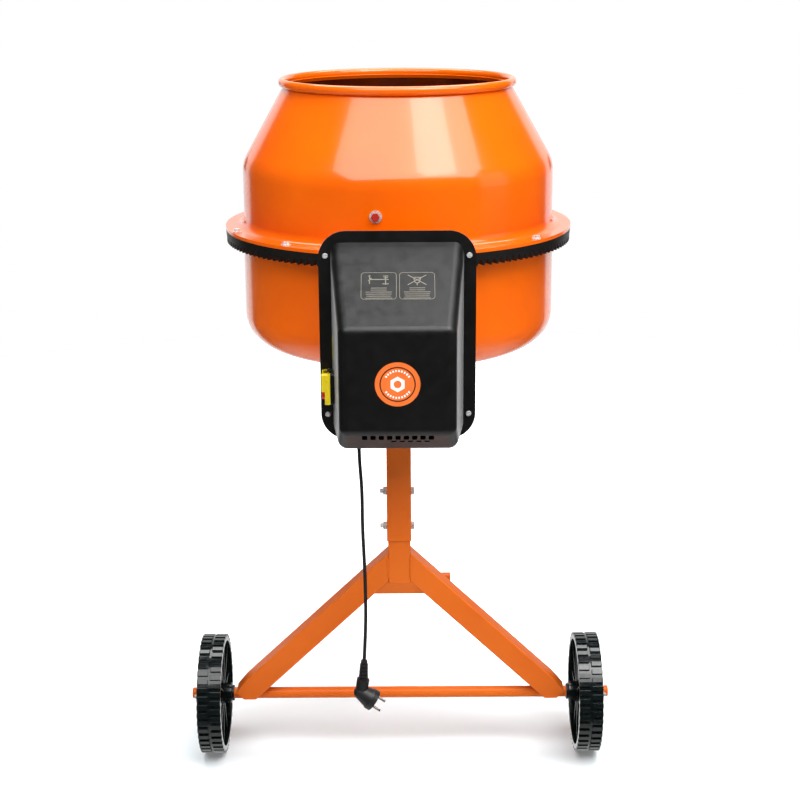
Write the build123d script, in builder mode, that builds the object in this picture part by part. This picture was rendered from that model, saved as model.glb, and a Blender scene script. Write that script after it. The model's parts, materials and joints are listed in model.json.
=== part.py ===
"""Tilting-drum concrete mixer on a two-wheeled stand: separate sub-parts in one shared frame.

Millimetres, +Z up, origin on the ground under the drum axis. The drum turns about Z, tilts about Y,
and the motor housing stands on the -Y side.
"""
import os
from math import atan2, cos, degrees, pi, radians, sin, tan

from build123d import *

os.makedirs("parts", exist_ok=True)

# ---- driving dimensions -------------------------------------------------------------------------
DRUM_R = 290.0            # outside of the drum wall above the flange
BOWL_R = 292.0            # outside of the drum wall below the gear ring
FLANGE_R = 325.0          # outside of the drum flange and of the gear ring
MOUTH_R = 213.5           # centre line of the rolled mouth bead
BEAD_HALF_W = 6.5
BEAD_HALF_H = 8.0
SHEET = 2.5               # drum sheet thickness
BOWL_Z = 672.0            # underside of the drum
BOWL_CORNER = 60.0
FLANGE_Z = 898.0          # top of the upper drum flange
FLANGE_T = 3.0
FLANGE_FILLET = 16.0
SHOULDER_Z = 1014.0
SHOULDER_FILLET = 60.0
MOUTH_Z = 1159.0

TEETH = 144               # gear ring on the drum
PINION_TEETH = 12
TOOTH_H = 10.0
ADDENDUM = 4.5
PRESSURE = 25.0           # pressure angle, degrees
BACKLASH = 1.3
RING_R_IN = 296.0
RING_BODY = 13.5
MESH_R = 313.0            # middle of the teeth along a radius
FACE_HALF = 10.5          # half the tooth length along a radius
SEGMENTS = 4              # castings that make up the gear ring
SEAM_TURN = -8.75         # degrees from the -Y side to a joint of two ring segments
RING_BOLT_SPREAD = 15.3   # degrees from a segment's middle to each of its two bolts
RING_BOLT_PCR = 314.5
RING_BOLT_R = 3.0
RING_BOLT_COLLAR_R = 8.3

POST_Y = 380.0            # both posts stand this far from the drum axis
POST = 42.5
POST_WALL = 1.5
LOWER_POST = 39.0
LOWER_POST_WALL = 2.0
POST_TOP_Z = 814.0
SLEEVE_Z = 404.0          # lower end of the upper post
LOWER_POST_Z = 326.4
LOWER_POST_TOP_Z = 560.0
GUSSET_Z = 302.0
GUSSET_HALF_W = 45.0

LEG = 39.0
LEG_WALL = 2.0
LEG_ANGLE = 43.5
LEG_TOP_X = 5.4
LEG_TOP_Z = 367.8
LEG_LENGTH = 383.0
LEG_END = 33.0            # length of the flattened lower end
LEG_END_TURN = 7.5        # degrees the flattened end falls away
LEG_FOOT_Z = 101.5

BOLT_R = 4.0              # M8 bolts
BOLT_FLATS = 13.0
BOLT_HEAD = 5.3
BOLT_NUT = 6.5
POST_BOLTS_Z = (490.0, 426.0)
PLATE_BOLTS_Z = (636.0, 790.0)
STRETCHER_BOLT_RISE = 9.0
HUB_BOLTS = 6
HUB_BOLT_PCR = 56.0

BLADE_TURN = -7.35        # degrees from the -Y side to the near mixing blade
BLADE_BOLT_Z = 954.0
BLADE_FOOT_R = 195.0

WHEEL_R = 105.5
WHEEL_W = 41.5
WHEEL_X = 333.7
HUB_R = 18.5
AXLE_R = 10.0
AXLE_LENGTH = 748.0

STRETCHER = 35.0
STRETCHER_Z = 340.0
FOOT_LENGTH = 200.0
FOOT_SHIFT = 12.0
FOOT_H = 20.0

SPINDLE_R = 20.0          # tilt bearings
HOUSING_R = 32.0
YOKE_Y = 344.0            # middle of each yoke arm
YOKE_ARM_T = 22.0
YOKE_ARM_W = 50.0
YOKE_BASE_TOP = 635.0
YOKE_BASE_H = 40.0
SHAFT_R = 8.0
PIN_R = 15.0              # drum spindle

PLATE_W = 246.0           # motor plate
PLATE_H = 347.0
PLATE_T = 3.0
COVER_W = 261.0
COVER_LOW_Z = 594.0
COVER_H = 357.0
COVER_CORNER = 45.0
COVER_FLANGE = 4.0
COVER_WALL = 2.5
BODY_HALF_W = 110.0
NOSE_HALF_W = 94.0
NOSE_Y = -545.0
NOSE_TOP_Z = 817.0
NOSE_LOW_Z = 645.0
CHAMFER_Y = -503.0
BODY_LOW_Z = 606.0
BODY_TOP_Z = 932.0
BODY_FILLET = 17.0
SCREW_X = 119.0
SCREW_LOW_Z = 638.0
SCREW_TOP_Z = 910.0
VENT_W = 8.6
VENT_PITCH = 13.5

MOTOR_Z = 712.0
MOTOR_R = 58.0
DRIVEN_R = 56.0
DRIVING_R = 14.0
BELT_T = 4.0

HANDWHEEL_R = 190.0
HANDWHEEL_Y = 447.0
HANDWHEEL_TUBE = 10.0
LOCK_R = 85.0
SPINDLE_END_Y = 545.0
SQUARE = 24.0

CORD_R = 3.0
CORD_Y = -455.0

SWITCH_Y = -432.0
SWITCH_Z = 693.0            # middle of the switch box
SWITCH_H = 53.0
SWITCH_DEPTH = 36.0        # front to back
SWITCH_FACE_X = -112.0    # outer face of the switch box
HINGE_X = -116.0
HINGE_Z = SWITCH_Z + SWITCH_H / 2 - 0.5
FLAP_OUT_X = -127.0
FLAP_STEP_X = -121.5      # lower half of the flap, round the stop button
START_RISE = 10.0
STOP_DROP = 13.0
STOP_R = 8.0

RUN = 0.06                # running clearance of a shaft in a hole
SNUG = 0.05               # fixed pin in its hole
GAP = 0.3                 # between faces that pass each other
SOFT_GAP = 0.3            # between a belt or spring and what it rests on

# ---- worked out from the values above -----------------------------------------------------------
RING_TOP_Z = FLANGE_Z - 2 * FLANGE_T
TOOTH_ROOT_Z = RING_TOP_Z - RING_BODY
PITCH_Z = TOOTH_ROOT_Z - (TOOTH_H - ADDENDUM)
PINION_PITCH_R = MESH_R * PINION_TEETH / TEETH
PIVOT_Z = PITCH_Z - PINION_PITCH_R
TOOTH_PITCH = 2 * pi * MESH_R / TEETH
TOOTH_W = TOOTH_PITCH / 2 - BACKLASH / 2
POST_FRONT_Y = -POST_Y - POST / 2
POST_BACK_Y = -POST_Y + POST / 2
PLATE_FRONT_Y = POST_FRONT_Y - PLATE_T
COVER_FRONT_Y = PLATE_FRONT_Y - COVER_FLANGE
YOKE_IN = YOKE_Y - YOKE_ARM_T / 2
YOKE_OUT = YOKE_Y + YOKE_ARM_T / 2
WHEEL_IN = WHEEL_X - WHEEL_W / 2
WHEEL_OUT = WHEEL_X + WHEEL_W / 2
HUB_IN = WHEEL_IN - 10.0
HUB_OUT = WHEEL_OUT + 7.5
BELT_Y = PLATE_FRONT_Y - 16.0
CONE_SLOPE = (DRUM_R - MOUTH_R + 2.0) / (MOUTH_Z - BEAD_HALF_H - SHOULDER_Z)
ring_bolt_turns = []
for segment in range(SEGMENTS):
    for side in (-1, 1):
        middle_turn = SEAM_TURN + 360 / SEGMENTS * (segment + 0.5)
        ring_bolt_turns.append(middle_turn + side * RING_BOLT_SPREAD)


def across_y(y, z=0.0, x=0.0):
    """Plane facing -Y at the given y, local x along X and local y along Z."""
    return Plane(origin=(x, y, z), x_dir=(1, 0, 0), z_dir=(0, -1, 0))


def across_x(x, y=0.0, z=0.0):
    """Plane facing +X at the given x, local x along Y and local y along Z."""
    return Plane(origin=(x, y, z), x_dir=(0, 1, 0), z_dir=(1, 0, 0))


def rod(start, end, radius):
    """Round bar between two points, used as a tool for pins and holes."""
    run = Vector(*end) - Vector(*start)
    with BuildPart(mode=Mode.PRIVATE) as bar:
        with BuildSketch(Plane(origin=start, z_dir=run)):
            Circle(radius)
        extrude(amount=run.length)
    return bar.part


def radial(turn, radius, z):
    """Point at an angle from the -Y side, at a radius from the drum axis."""
    return (radius * sin(radians(turn)), -radius * cos(radians(turn)), z)


def hexagon(start, end, across_flats):
    """Hexagonal bar between two points: bolt heads and nuts."""
    run = Vector(*end) - Vector(*start)
    with BuildPart(mode=Mode.PRIVATE) as bar:
        with BuildSketch(Plane(origin=start, z_dir=run)):
            RegularPolygon(across_flats / 2, 6, major_radius=False)
        extrude(amount=run.length)
    return bar.part


def square_tube(start, end, side, wall, x_dir):
    """Straight square tube between two points."""
    run = Vector(*end) - Vector(*start)
    with BuildPart(mode=Mode.PRIVATE) as bar:
        with BuildSketch(Plane(origin=start, z_dir=run, x_dir=x_dir)):
            RectangleRounded(side, side, wall + 0.8)
            RectangleRounded(side - 2 * wall, side - 2 * wall, 0.8, mode=Mode.SUBTRACT)
        extrude(amount=run.length)
    return bar.part


# ---- drum ---------------------------------------------------------------------------------------
def cone_r(z):
    return DRUM_R - CONE_SLOPE * (z - SHOULDER_Z)


BLADE_TURNS = (BLADE_TURN, BLADE_TURN + 180)
wall_holes = []
foot_holes = []
for turn in BLADE_TURNS:
    wall_holes.append(
        rod(
            radial(turn, DRUM_R - 25, BLADE_BOLT_Z),
            radial(turn, DRUM_R + 10, BLADE_BOLT_Z),
            BOLT_R + SNUG,
        )
    )
    foot_holes.append(
        rod(
            radial(turn, BLADE_FOOT_R, BOWL_Z - 12),
            radial(turn, BLADE_FOOT_R, BOWL_Z + 18),
            BOLT_R + SNUG,
        )
    )
ring_holes = []
for turn in ring_bolt_turns:
    ring_holes.append(
        rod(
            radial(turn, RING_BOLT_PCR, RING_TOP_Z - 9.0),
            radial(turn, RING_BOLT_PCR, FLANGE_Z + 1.0),
            RING_BOLT_R + SNUG,
        )
    )

with BuildPart() as drum_upper:
    with BuildSketch(Plane.XZ) as profile:
        with BuildLine():
            Polyline(
                (FLANGE_R, FLANGE_Z - FLANGE_T),
                (FLANGE_R, FLANGE_Z),
                (DRUM_R, FLANGE_Z),
                (DRUM_R, SHOULDER_Z),
                (cone_r(MOUTH_Z - 3.0), MOUTH_Z - 3.0),
                (cone_r(MOUTH_Z - 3.0) - SHEET, MOUTH_Z - 4.5),
                (DRUM_R - SHEET, SHOULDER_Z - 0.7),
                (DRUM_R - SHEET, FLANGE_Z - FLANGE_T),
                close=True,
            )
        make_face()
        fillet(profile.vertices().sort_by_distance((DRUM_R, FLANGE_Z))[0], FLANGE_FILLET)
        fillet(profile.vertices().sort_by_distance((DRUM_R + 1, SHOULDER_Z))[0], SHOULDER_FILLET)
        inner_shoulder = profile.vertices().sort_by_distance((DRUM_R - SHEET, SHOULDER_Z - 0.7))[0]
        fillet(inner_shoulder, SHOULDER_FILLET - SHEET)
        with Locations((MOUTH_R, MOUTH_Z)):
            Ellipse(BEAD_HALF_W, BEAD_HALF_H)
    revolve(axis=Axis.Z)
    add(wall_holes, mode=Mode.SUBTRACT)
    add(ring_holes, mode=Mode.SUBTRACT)

with BuildPart() as drum_lower:
    with BuildSketch(Plane.XZ) as profile:
        with BuildLine():
            Polyline(
                (34.3, BOWL_Z),
                (BOWL_R, BOWL_Z),
                (BOWL_R, RING_TOP_Z),
                (FLANGE_R, RING_TOP_Z),
                (FLANGE_R, RING_TOP_Z + FLANGE_T),
                (BOWL_R - SHEET, RING_TOP_Z + FLANGE_T),
                (BOWL_R - SHEET, BOWL_Z + SHEET),
                (34.3, BOWL_Z + SHEET),
                close=True,
            )
        make_face()
        fillet(profile.vertices().sort_by_distance((BOWL_R, BOWL_Z))[0], BOWL_CORNER)
        inner_corner = profile.vertices().sort_by_distance((BOWL_R - SHEET, BOWL_Z + SHEET))[0]
        fillet(inner_corner, BOWL_CORNER - SHEET)
    revolve(axis=Axis.Z)
    add(foot_holes, mode=Mode.SUBTRACT)
    add(ring_holes, mode=Mode.SUBTRACT)
    with BuildSketch(Plane.XY.offset(BOWL_Z - 1)):
        with PolarLocations(HUB_BOLT_PCR, HUB_BOLTS):
            Circle(BOLT_R + SNUG)
    extrude(amount=SHEET + 2, mode=Mode.SUBTRACT)

with BuildPart() as tooth:
    for radius in (MESH_R - FACE_HALF, MESH_R + FACE_HALF):
        grow = radius / MESH_R
        tip = (TOOTH_W / 2 - ADDENDUM * tan(radians(PRESSURE))) * grow
        root = (TOOTH_W / 2 + (TOOTH_H - ADDENDUM) * tan(radians(PRESSURE))) * grow
        with BuildSketch(across_y(-radius, TOOTH_ROOT_Z)):
            with BuildLine():
                Polyline((-tip, -TOOTH_H), (tip, -TOOTH_H), (root, 0.2), (-root, 0.2), close=True)
            make_face()
    loft()

with BuildPart() as ring_gear:
    with BuildSketch(Plane.XZ):
        with BuildLine():
            Polyline(
                (RING_R_IN, TOOTH_ROOT_Z),
                (FLANGE_R - 1.2, TOOTH_ROOT_Z),
                (FLANGE_R, RING_TOP_Z),
                (RING_R_IN, RING_TOP_Z),
                close=True,
            )
        make_face()
    revolve(axis=Axis.Z)
    with PolarLocations(0, TEETH):
        add(tooth.part)
    add(ring_holes, mode=Mode.SUBTRACT)
    with BuildSketch(Plane.XY.offset(TOOTH_ROOT_Z - 20)):
        with PolarLocations(MESH_R, SEGMENTS, start_angle=SEAM_TURN - 90):
            Rectangle(60.0, 0.4)
    extrude(amount=60, mode=Mode.SUBTRACT)

with BuildPart() as ring_bolts:
    for turn in ring_bolt_turns:
        low = radial(turn, RING_BOLT_PCR, RING_TOP_Z - 8.5)
        seat = radial(turn, RING_BOLT_PCR, FLANGE_Z)
        collar_top = radial(turn, RING_BOLT_PCR, FLANGE_Z + 1.8)
        head_top = radial(turn, RING_BOLT_PCR, FLANGE_Z + 5.8)
        add(rod(low, seat, RING_BOLT_R))
        add(rod(seat, collar_top, RING_BOLT_COLLAR_R))
        add(hexagon(collar_top, head_top, 10.5))


def make_blade(turn):
    """Bent mixing blade: upright web, tab on the drum wall and tab on the drum floor."""
    wall = DRUM_R - SHEET
    out = Vector(*radial(turn, 1, 0))
    upright = Plane(origin=(0, 0, 0), x_dir=out, z_dir=out.cross(Vector(0, 0, 1)))
    floor = BOWL_Z + SHEET
    top_tab = rod(radial(turn, wall - 6, BLADE_BOLT_Z), radial(turn, wall - 2, BLADE_BOLT_Z), 20.0)
    foot_tab = rod(
        radial(turn, BLADE_FOOT_R, floor + GAP), radial(turn, BLADE_FOOT_R, floor + 4.3), 20.0
    )
    nut_room = [
        rod(radial(turn, wall - 40, BLADE_BOLT_Z), radial(turn, wall - 6, BLADE_BOLT_Z), 10.0),
        rod(radial(turn, BLADE_FOOT_R, floor + 4.3), radial(turn, BLADE_FOOT_R, 730), 10.0),
    ]
    with BuildPart() as blade:
        with BuildSketch(upright):
            with BuildLine():
                Polyline(
                    (wall - 3, 974.0),
                    (wall - 3, 934.0),
                    (wall - 22, 905.0),
                    (wall - 22, 770.0),
                    (222.0, 706.0),
                    (215.0, floor + 2),
                    (175.0, floor + 2),
                    (172.0, 712.0),
                    (205.0, 775.0),
                    (wall - 70, 905.0),
                    (wall - 30, 974.0),
                    close=True,
                )
            make_face()
        extrude(amount=2.5, both=True)
        add([top_tab, foot_tab])
        add(nut_room, mode=Mode.SUBTRACT)
        index = BLADE_TURNS.index(turn)
        add([wall_holes[index], foot_holes[index]], mode=Mode.SUBTRACT)
    return blade


blade_near = make_blade(BLADE_TURNS[0])
blade_far = make_blade(BLADE_TURNS[1])

bolt_solids = []
seal_solids = []
for index, turn in enumerate(BLADE_TURNS):

    def out_at(radius):
        return radial(turn, radius, BLADE_BOLT_Z)

    def foot_at(z):
        return radial(turn, BLADE_FOOT_R, z)

    seat = DRUM_R + 2.2
    tab_top = BOWL_Z + SHEET + 4.3
    with BuildPart() as wall_bolt:
        add(rod(out_at(DRUM_R - 20), out_at(seat + 1), BOLT_R))
        add(hexagon(out_at(seat), out_at(seat + BOLT_HEAD), BOLT_FLATS))
        add(hexagon(out_at(DRUM_R - 8.5 - BOLT_NUT), out_at(DRUM_R - 8.5), BOLT_FLATS))
    with BuildPart() as foot_bolt:
        add(rod(foot_at(BOWL_Z - 3), foot_at(BOWL_Z + 18), BOLT_R))
        add(hexagon(foot_at(BOWL_Z - BOLT_HEAD), foot_at(BOWL_Z), BOLT_FLATS))
        add(hexagon(foot_at(tab_top), foot_at(tab_top + BOLT_NUT), BOLT_FLATS))
    bolt_solids += [wall_bolt.part, foot_bolt.part]
    with BuildPart() as seal:
        add(rod(out_at(DRUM_R - 0.5), out_at(seat), 11.0))
        add(wall_holes[index], mode=Mode.SUBTRACT)
        with Locations((0, 0, BLADE_BOLT_Z)):
            Cylinder(DRUM_R + SNUG, 100.0, mode=Mode.SUBTRACT)
    seal_solids.append(seal.part)
with BuildPart() as blade_bolts:
    add(bolt_solids)
with BuildPart() as blade_seals:
    add(seal_solids)

HUB_LOW_Z = YOKE_BASE_TOP + 9.3
with BuildPart() as drum_hub:
    with BuildSketch(Plane.XZ):
        with BuildLine():
            Polyline(
                (PIN_R + RUN, HUB_LOW_Z),
                (34.0, HUB_LOW_Z),
                (34.0, BOWL_Z - 8),
                (72.0, BOWL_Z - 8),
                (72.0, BOWL_Z),
                (34.0, BOWL_Z),
                (34.0, 716.0),
                (26.0, 726.0),
                (0, 726.0),
                (0, 716.0),
                (PIN_R + RUN, 716.0),
                close=True,
            )
        make_face()
    revolve(axis=Axis.Z)
    with BuildSketch(Plane.XY.offset(BOWL_Z - 9)):
        with PolarLocations(HUB_BOLT_PCR, HUB_BOLTS):
            Circle(BOLT_R + SNUG)
    extrude(amount=12, mode=Mode.SUBTRACT)

with BuildPart() as hub_bolts:
    with PolarLocations(HUB_BOLT_PCR, HUB_BOLTS):
        low = BOWL_Z - 8 - BOLT_HEAD
        nut = BOWL_Z + SHEET
        add(hexagon((0, 0, low), (0, 0, BOWL_Z - 8), BOLT_FLATS))
        add(rod((0, 0, low + 1), (0, 0, nut + BOLT_NUT + 2), BOLT_R))
        add(hexagon((0, 0, nut), (0, 0, nut + BOLT_NUT), BOLT_FLATS))

# ---- pinion drive -------------------------------------------------------------------------------
def involute_pinion():
    """Outline of the pinion, one space upward, as a list of points in the plane of the teeth."""
    base_r = PINION_PITCH_R * cos(radians(PRESSURE))
    tip_r = PINION_PITCH_R + ADDENDUM
    root_r = PINION_PITCH_R - (TOOTH_H - ADDENDUM)
    involute_at_pitch = tan(radians(PRESSURE)) - radians(PRESSURE)
    half_at_pitch = TOOTH_W / 2 / PINION_PITCH_R
    flank = []
    steps = 6
    for step in range(steps + 1):
        radius = base_r + (tip_r - base_r) * step / steps
        angle = atan2((radius**2 - base_r**2) ** 0.5, base_r)
        half = half_at_pitch + involute_at_pitch - (tan(angle) - angle)
        flank.append((radius, half))
    flank = [(root_r, flank[0][1])] + flank
    outline = []
    for index in range(PINION_TEETH):
        middle = pi / 2 + 2 * pi * (index + 0.5) / PINION_TEETH
        for radius, half in flank:
            outline.append((radius * cos(middle - half), radius * sin(middle - half)))
        for radius, half in reversed(flank):
            outline.append((radius * cos(middle + half), radius * sin(middle + half)))
    return outline


with BuildPart() as pinion:
    with BuildSketch(across_y(-(MESH_R - FACE_HALF), PIVOT_Z)):
        with BuildLine():
            Polyline(*involute_pinion(), close=True)
        make_face()
        Circle(SHAFT_R + SNUG, mode=Mode.SUBTRACT)
    extrude(amount=2 * FACE_HALF + 1)

SHAFT_IN_Y = -(MESH_R - FACE_HALF) + 4.0
with BuildPart() as drive_shaft:
    add(rod((0, SHAFT_IN_Y, PIVOT_Z), (0, BELT_Y - 14, PIVOT_Z), SHAFT_R))
    chamfer(drive_shaft.edges(), 1.0)

with BuildPart() as driven_pulley:
    with BuildSketch(across_x(0, BELT_Y, PIVOT_Z)):
        with BuildLine():
            Polyline(
                (-8, SHAFT_R + SNUG),
                (8, SHAFT_R + SNUG),
                (8, 16.0),
                (3, 18.0),
                (3, DRIVEN_R - 8),
                (8, DRIVEN_R - 5),
                (8, DRIVEN_R + 2.5),
                (6.5, DRIVEN_R + 2.5),
                (6.5, DRIVEN_R),
                (-6.5, DRIVEN_R),
                (-6.5, DRIVEN_R + 2.5),
                (-8, DRIVEN_R + 2.5),
                (-8, DRIVEN_R - 5),
                (-3, DRIVEN_R - 8),
                (-3, 18.0),
                (-8, 16.0),
                close=True,
            )
        make_face()
    revolve(axis=Axis((0, 0, PIVOT_Z), (0, 1, 0)))

# ---- yoke ---------------------------------------------------------------------------------------
with BuildPart() as yoke_base:
    with BuildSketch(across_y(YOKE_OUT, YOKE_BASE_TOP - YOKE_BASE_H / 2)):
        RectangleRounded(YOKE_ARM_W, YOKE_BASE_H, 4.0)
        RectangleRounded(YOKE_ARM_W - 6, YOKE_BASE_H - 6, 1.5, mode=Mode.SUBTRACT)
    extrude(amount=2 * YOKE_OUT)


def make_arm(y_from):
    with BuildPart() as arm:
        with BuildSketch(across_y(y_from)):
            with Locations((0, (YOKE_BASE_TOP + PIVOT_Z) / 2)):
                Rectangle(YOKE_ARM_W, PIVOT_Z - YOKE_BASE_TOP)
            with Locations((0, PIVOT_Z)):
                Circle(HOUSING_R)
                Circle(SPINDLE_R + SNUG, mode=Mode.SUBTRACT)
        extrude(amount=YOKE_ARM_T)
    return arm


yoke_arm_near = make_arm(-YOKE_IN)
yoke_arm_far = make_arm(YOKE_OUT)

with BuildPart() as tilt_sleeve:
    add(rod((0, -YOKE_IN + 1, PIVOT_Z), (0, POST_FRONT_Y + 0.5, PIVOT_Z), SPINDLE_R))
    add(rod((0, -YOKE_IN + 2, PIVOT_Z), (0, POST_FRONT_Y - 1, PIVOT_Z), 14.0), mode=Mode.SUBTRACT)

bush_solids = []
for start in (-YOKE_IN + 1, POST_FRONT_Y + 12.5):
    with BuildPart() as bush:
        add(rod((0, start, PIVOT_Z), (0, start - 12, PIVOT_Z), 14.0 - SNUG))
        bore = rod((0, start + 1, PIVOT_Z), (0, start - 13, PIVOT_Z), SHAFT_R + RUN)
        add(bore, mode=Mode.SUBTRACT)
    bush_solids.append(bush.part)
with BuildPart() as shaft_bushes:
    add(bush_solids)

with BuildPart() as far_spindle:
    add(rod((0, YOKE_IN - 1, PIVOT_Z), (0, POST_Y + POST / 2 + 22, PIVOT_Z), SPINDLE_R))
    with BuildSketch(across_y(SPINDLE_END_Y - 20, PIVOT_Z)):
        RectangleRounded(SQUARE, SQUARE, 2.0)
    extrude(amount=SPINDLE_END_Y - 20 - POST_Y - POST / 2 - 21)
    add(rod((0, SPINDLE_END_Y - 21, PIVOT_Z), (0, SPINDLE_END_Y, PIVOT_Z), 9.0))

with BuildPart() as drum_spindle:
    with BuildSketch(Plane.XZ):
        with BuildLine():
            Polyline(
                (0, YOKE_BASE_TOP),
                (24.0, YOKE_BASE_TOP),
                (24.0, YOKE_BASE_TOP + 6),
                (PIN_R, YOKE_BASE_TOP + 6),
                (PIN_R, 710.0),
                (PIN_R - 2, 712.0),
                (0, 712.0),
                close=True,
            )
        make_face()
    revolve(axis=Axis.Z)

with BuildPart() as thrust_washer:
    with BuildSketch(Plane.XY.offset(YOKE_BASE_TOP + 6)):
        Circle(28.0)
        Circle(PIN_R + SNUG, mode=Mode.SUBTRACT)
    extrude(amount=3.0)

washer_solids = []
for side in (-1, 1):
    with BuildPart() as washer:
        with BuildSketch(across_y(side * YOKE_OUT + (0 if side < 0 else 3.2), PIVOT_Z)):
            Circle(30.0)
            Circle(SPINDLE_R + SNUG, mode=Mode.SUBTRACT)
        extrude(amount=3.2)
    washer_solids.append(washer.part)
with BuildPart() as tilt_washers:
    add(washer_solids)

with BuildPart() as spindle_end_nut:
    add(hexagon((0, SPINDLE_END_Y - 16, PIVOT_Z), (0, SPINDLE_END_Y - 3, PIVOT_Z), 27.0))
    add(rod((0, SPINDLE_END_Y - 20, PIVOT_Z), (0, SPINDLE_END_Y - 16, PIVOT_Z), 26.0))
    add(
        rod((0, SPINDLE_END_Y - 25, PIVOT_Z), (0, SPINDLE_END_Y + 5, PIVOT_Z), 9.0 + SNUG),
        mode=Mode.SUBTRACT,
    )

# ---- posts and bearings -------------------------------------------------------------------------
post_bolt_holes = []
for z in POST_BOLTS_Z:
    post_bolt_holes.append(rod((-40, -POST_Y, z), (40, -POST_Y, z), BOLT_R + SNUG))
plate_bolt_holes = []
for z in PLATE_BOLTS_Z:
    plate_bolt_holes.append(
        rod((0, PLATE_FRONT_Y - 9, z), (0, POST_FRONT_Y + 18, z), BOLT_R + SNUG)
    )

with BuildPart() as upper_post:
    add(square_tube((0, -POST_Y, SLEEVE_Z), (0, -POST_Y, POST_TOP_Z), POST, POST_WALL, (1, 0, 0)))
    add(post_bolt_holes + plate_bolt_holes, mode=Mode.SUBTRACT)

with BuildPart() as lower_post:
    add(
        square_tube(
            (0, -POST_Y, LOWER_POST_Z),
            (0, -POST_Y, LOWER_POST_TOP_Z),
            LOWER_POST,
            LOWER_POST_WALL,
            (1, 0, 0),
        )
    )
    add(post_bolt_holes, mode=Mode.SUBTRACT)

with BuildPart() as post_bolts:
    for z in POST_BOLTS_Z:
        add(rod((-POST / 2 - 12, -POST_Y, z), (POST / 2 + 1, -POST_Y, z), BOLT_R))
        add(hexagon((POST / 2, -POST_Y, z), (POST / 2 + BOLT_HEAD, -POST_Y, z), BOLT_FLATS))
        add(hexagon((-POST / 2 - BOLT_NUT, -POST_Y, z), (-POST / 2, -POST_Y, z), BOLT_FLATS))

with BuildPart() as plate_bolts:
    for z in PLATE_BOLTS_Z:
        add(rod((0, PLATE_FRONT_Y - 1, z), (0, POST_FRONT_Y + 12, z), BOLT_R))
        add(hexagon((0, PLATE_FRONT_Y - BOLT_HEAD, z), (0, PLATE_FRONT_Y, z), BOLT_FLATS))


def make_housing(y_from):
    """Bearing housing with its saddle, standing on a post."""
    with BuildPart() as housing:
        with BuildSketch(across_y(y_from, PIVOT_Z)):
            Circle(HOUSING_R)
            with Locations((0, (POST_TOP_Z - PIVOT_Z) / 2)):
                Rectangle(POST, PIVOT_Z - POST_TOP_Z)
            Circle(SPINDLE_R + RUN, mode=Mode.SUBTRACT)
        extrude(amount=POST)
    return housing


near_housing = make_housing(POST_BACK_Y)
far_housing = make_housing(POST_Y + POST / 2)

with BuildPart() as far_post:
    add(square_tube((0, POST_Y, FOOT_H), (0, POST_Y, POST_TOP_Z), POST, POST_WALL, (1, 0, 0)))
    for side in (-1, 1):
        z = STRETCHER_Z + side * STRETCHER_BOLT_RISE
        add(rod((0, POST_Y - 30, z), (0, POST_Y + 30, z), BOLT_R + SNUG), mode=Mode.SUBTRACT)

with BuildPart() as far_foot:
    add(
        square_tube(
            (FOOT_SHIFT - FOOT_LENGTH / 2, POST_Y, FOOT_H / 2),
            (FOOT_SHIFT + FOOT_LENGTH / 2, POST_Y, FOOT_H / 2),
            FOOT_H,
            2.0,
            (0, 1, 0),
        )
    )

with BuildPart() as stretcher:
    near_end = -POST_Y + LOWER_POST / 2
    far_end = POST_Y - POST / 2
    ends = [(0, near_end, STRETCHER_Z), (0, far_end, STRETCHER_Z)]
    add(square_tube(*ends, STRETCHER, 2.0, (1, 0, 0)))
    with BuildSketch(across_y(far_end, STRETCHER_Z)):
        Rectangle(STRETCHER - 3, STRETCHER - 3)
        with Locations((0, -STRETCHER_BOLT_RISE), (0, STRETCHER_BOLT_RISE)):
            Circle(BOLT_R + SNUG, mode=Mode.SUBTRACT)
    extrude(amount=5.0)

with BuildPart() as stretcher_bolts:
    far_face = POST_Y + POST / 2
    for side in (-1, 1):
        z = STRETCHER_Z + side * STRETCHER_BOLT_RISE
        add(rod((0, far_end - 14, z), (0, far_face + 1, z), BOLT_R))
        add(hexagon((0, far_face, z), (0, far_face + BOLT_HEAD, z), BOLT_FLATS))

with BuildPart() as lock_disc:
    with BuildSketch(across_y(POST_Y + POST / 2 + 5, PIVOT_Z)):
        Circle(LOCK_R + 4)
        Circle(SPINDLE_R + 1.5, mode=Mode.SUBTRACT)
        with PolarLocations(LOCK_R + 2, 24, start_angle=90):
            Circle(6.2, mode=Mode.SUBTRACT)
    extrude(amount=5.0)

# ---- legs, axle and wheels ----------------------------------------------------------------------
axle_tool = rod((-400, -POST_Y, WHEEL_R), (400, -POST_Y, WHEEL_R), AXLE_R + SNUG)


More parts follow.
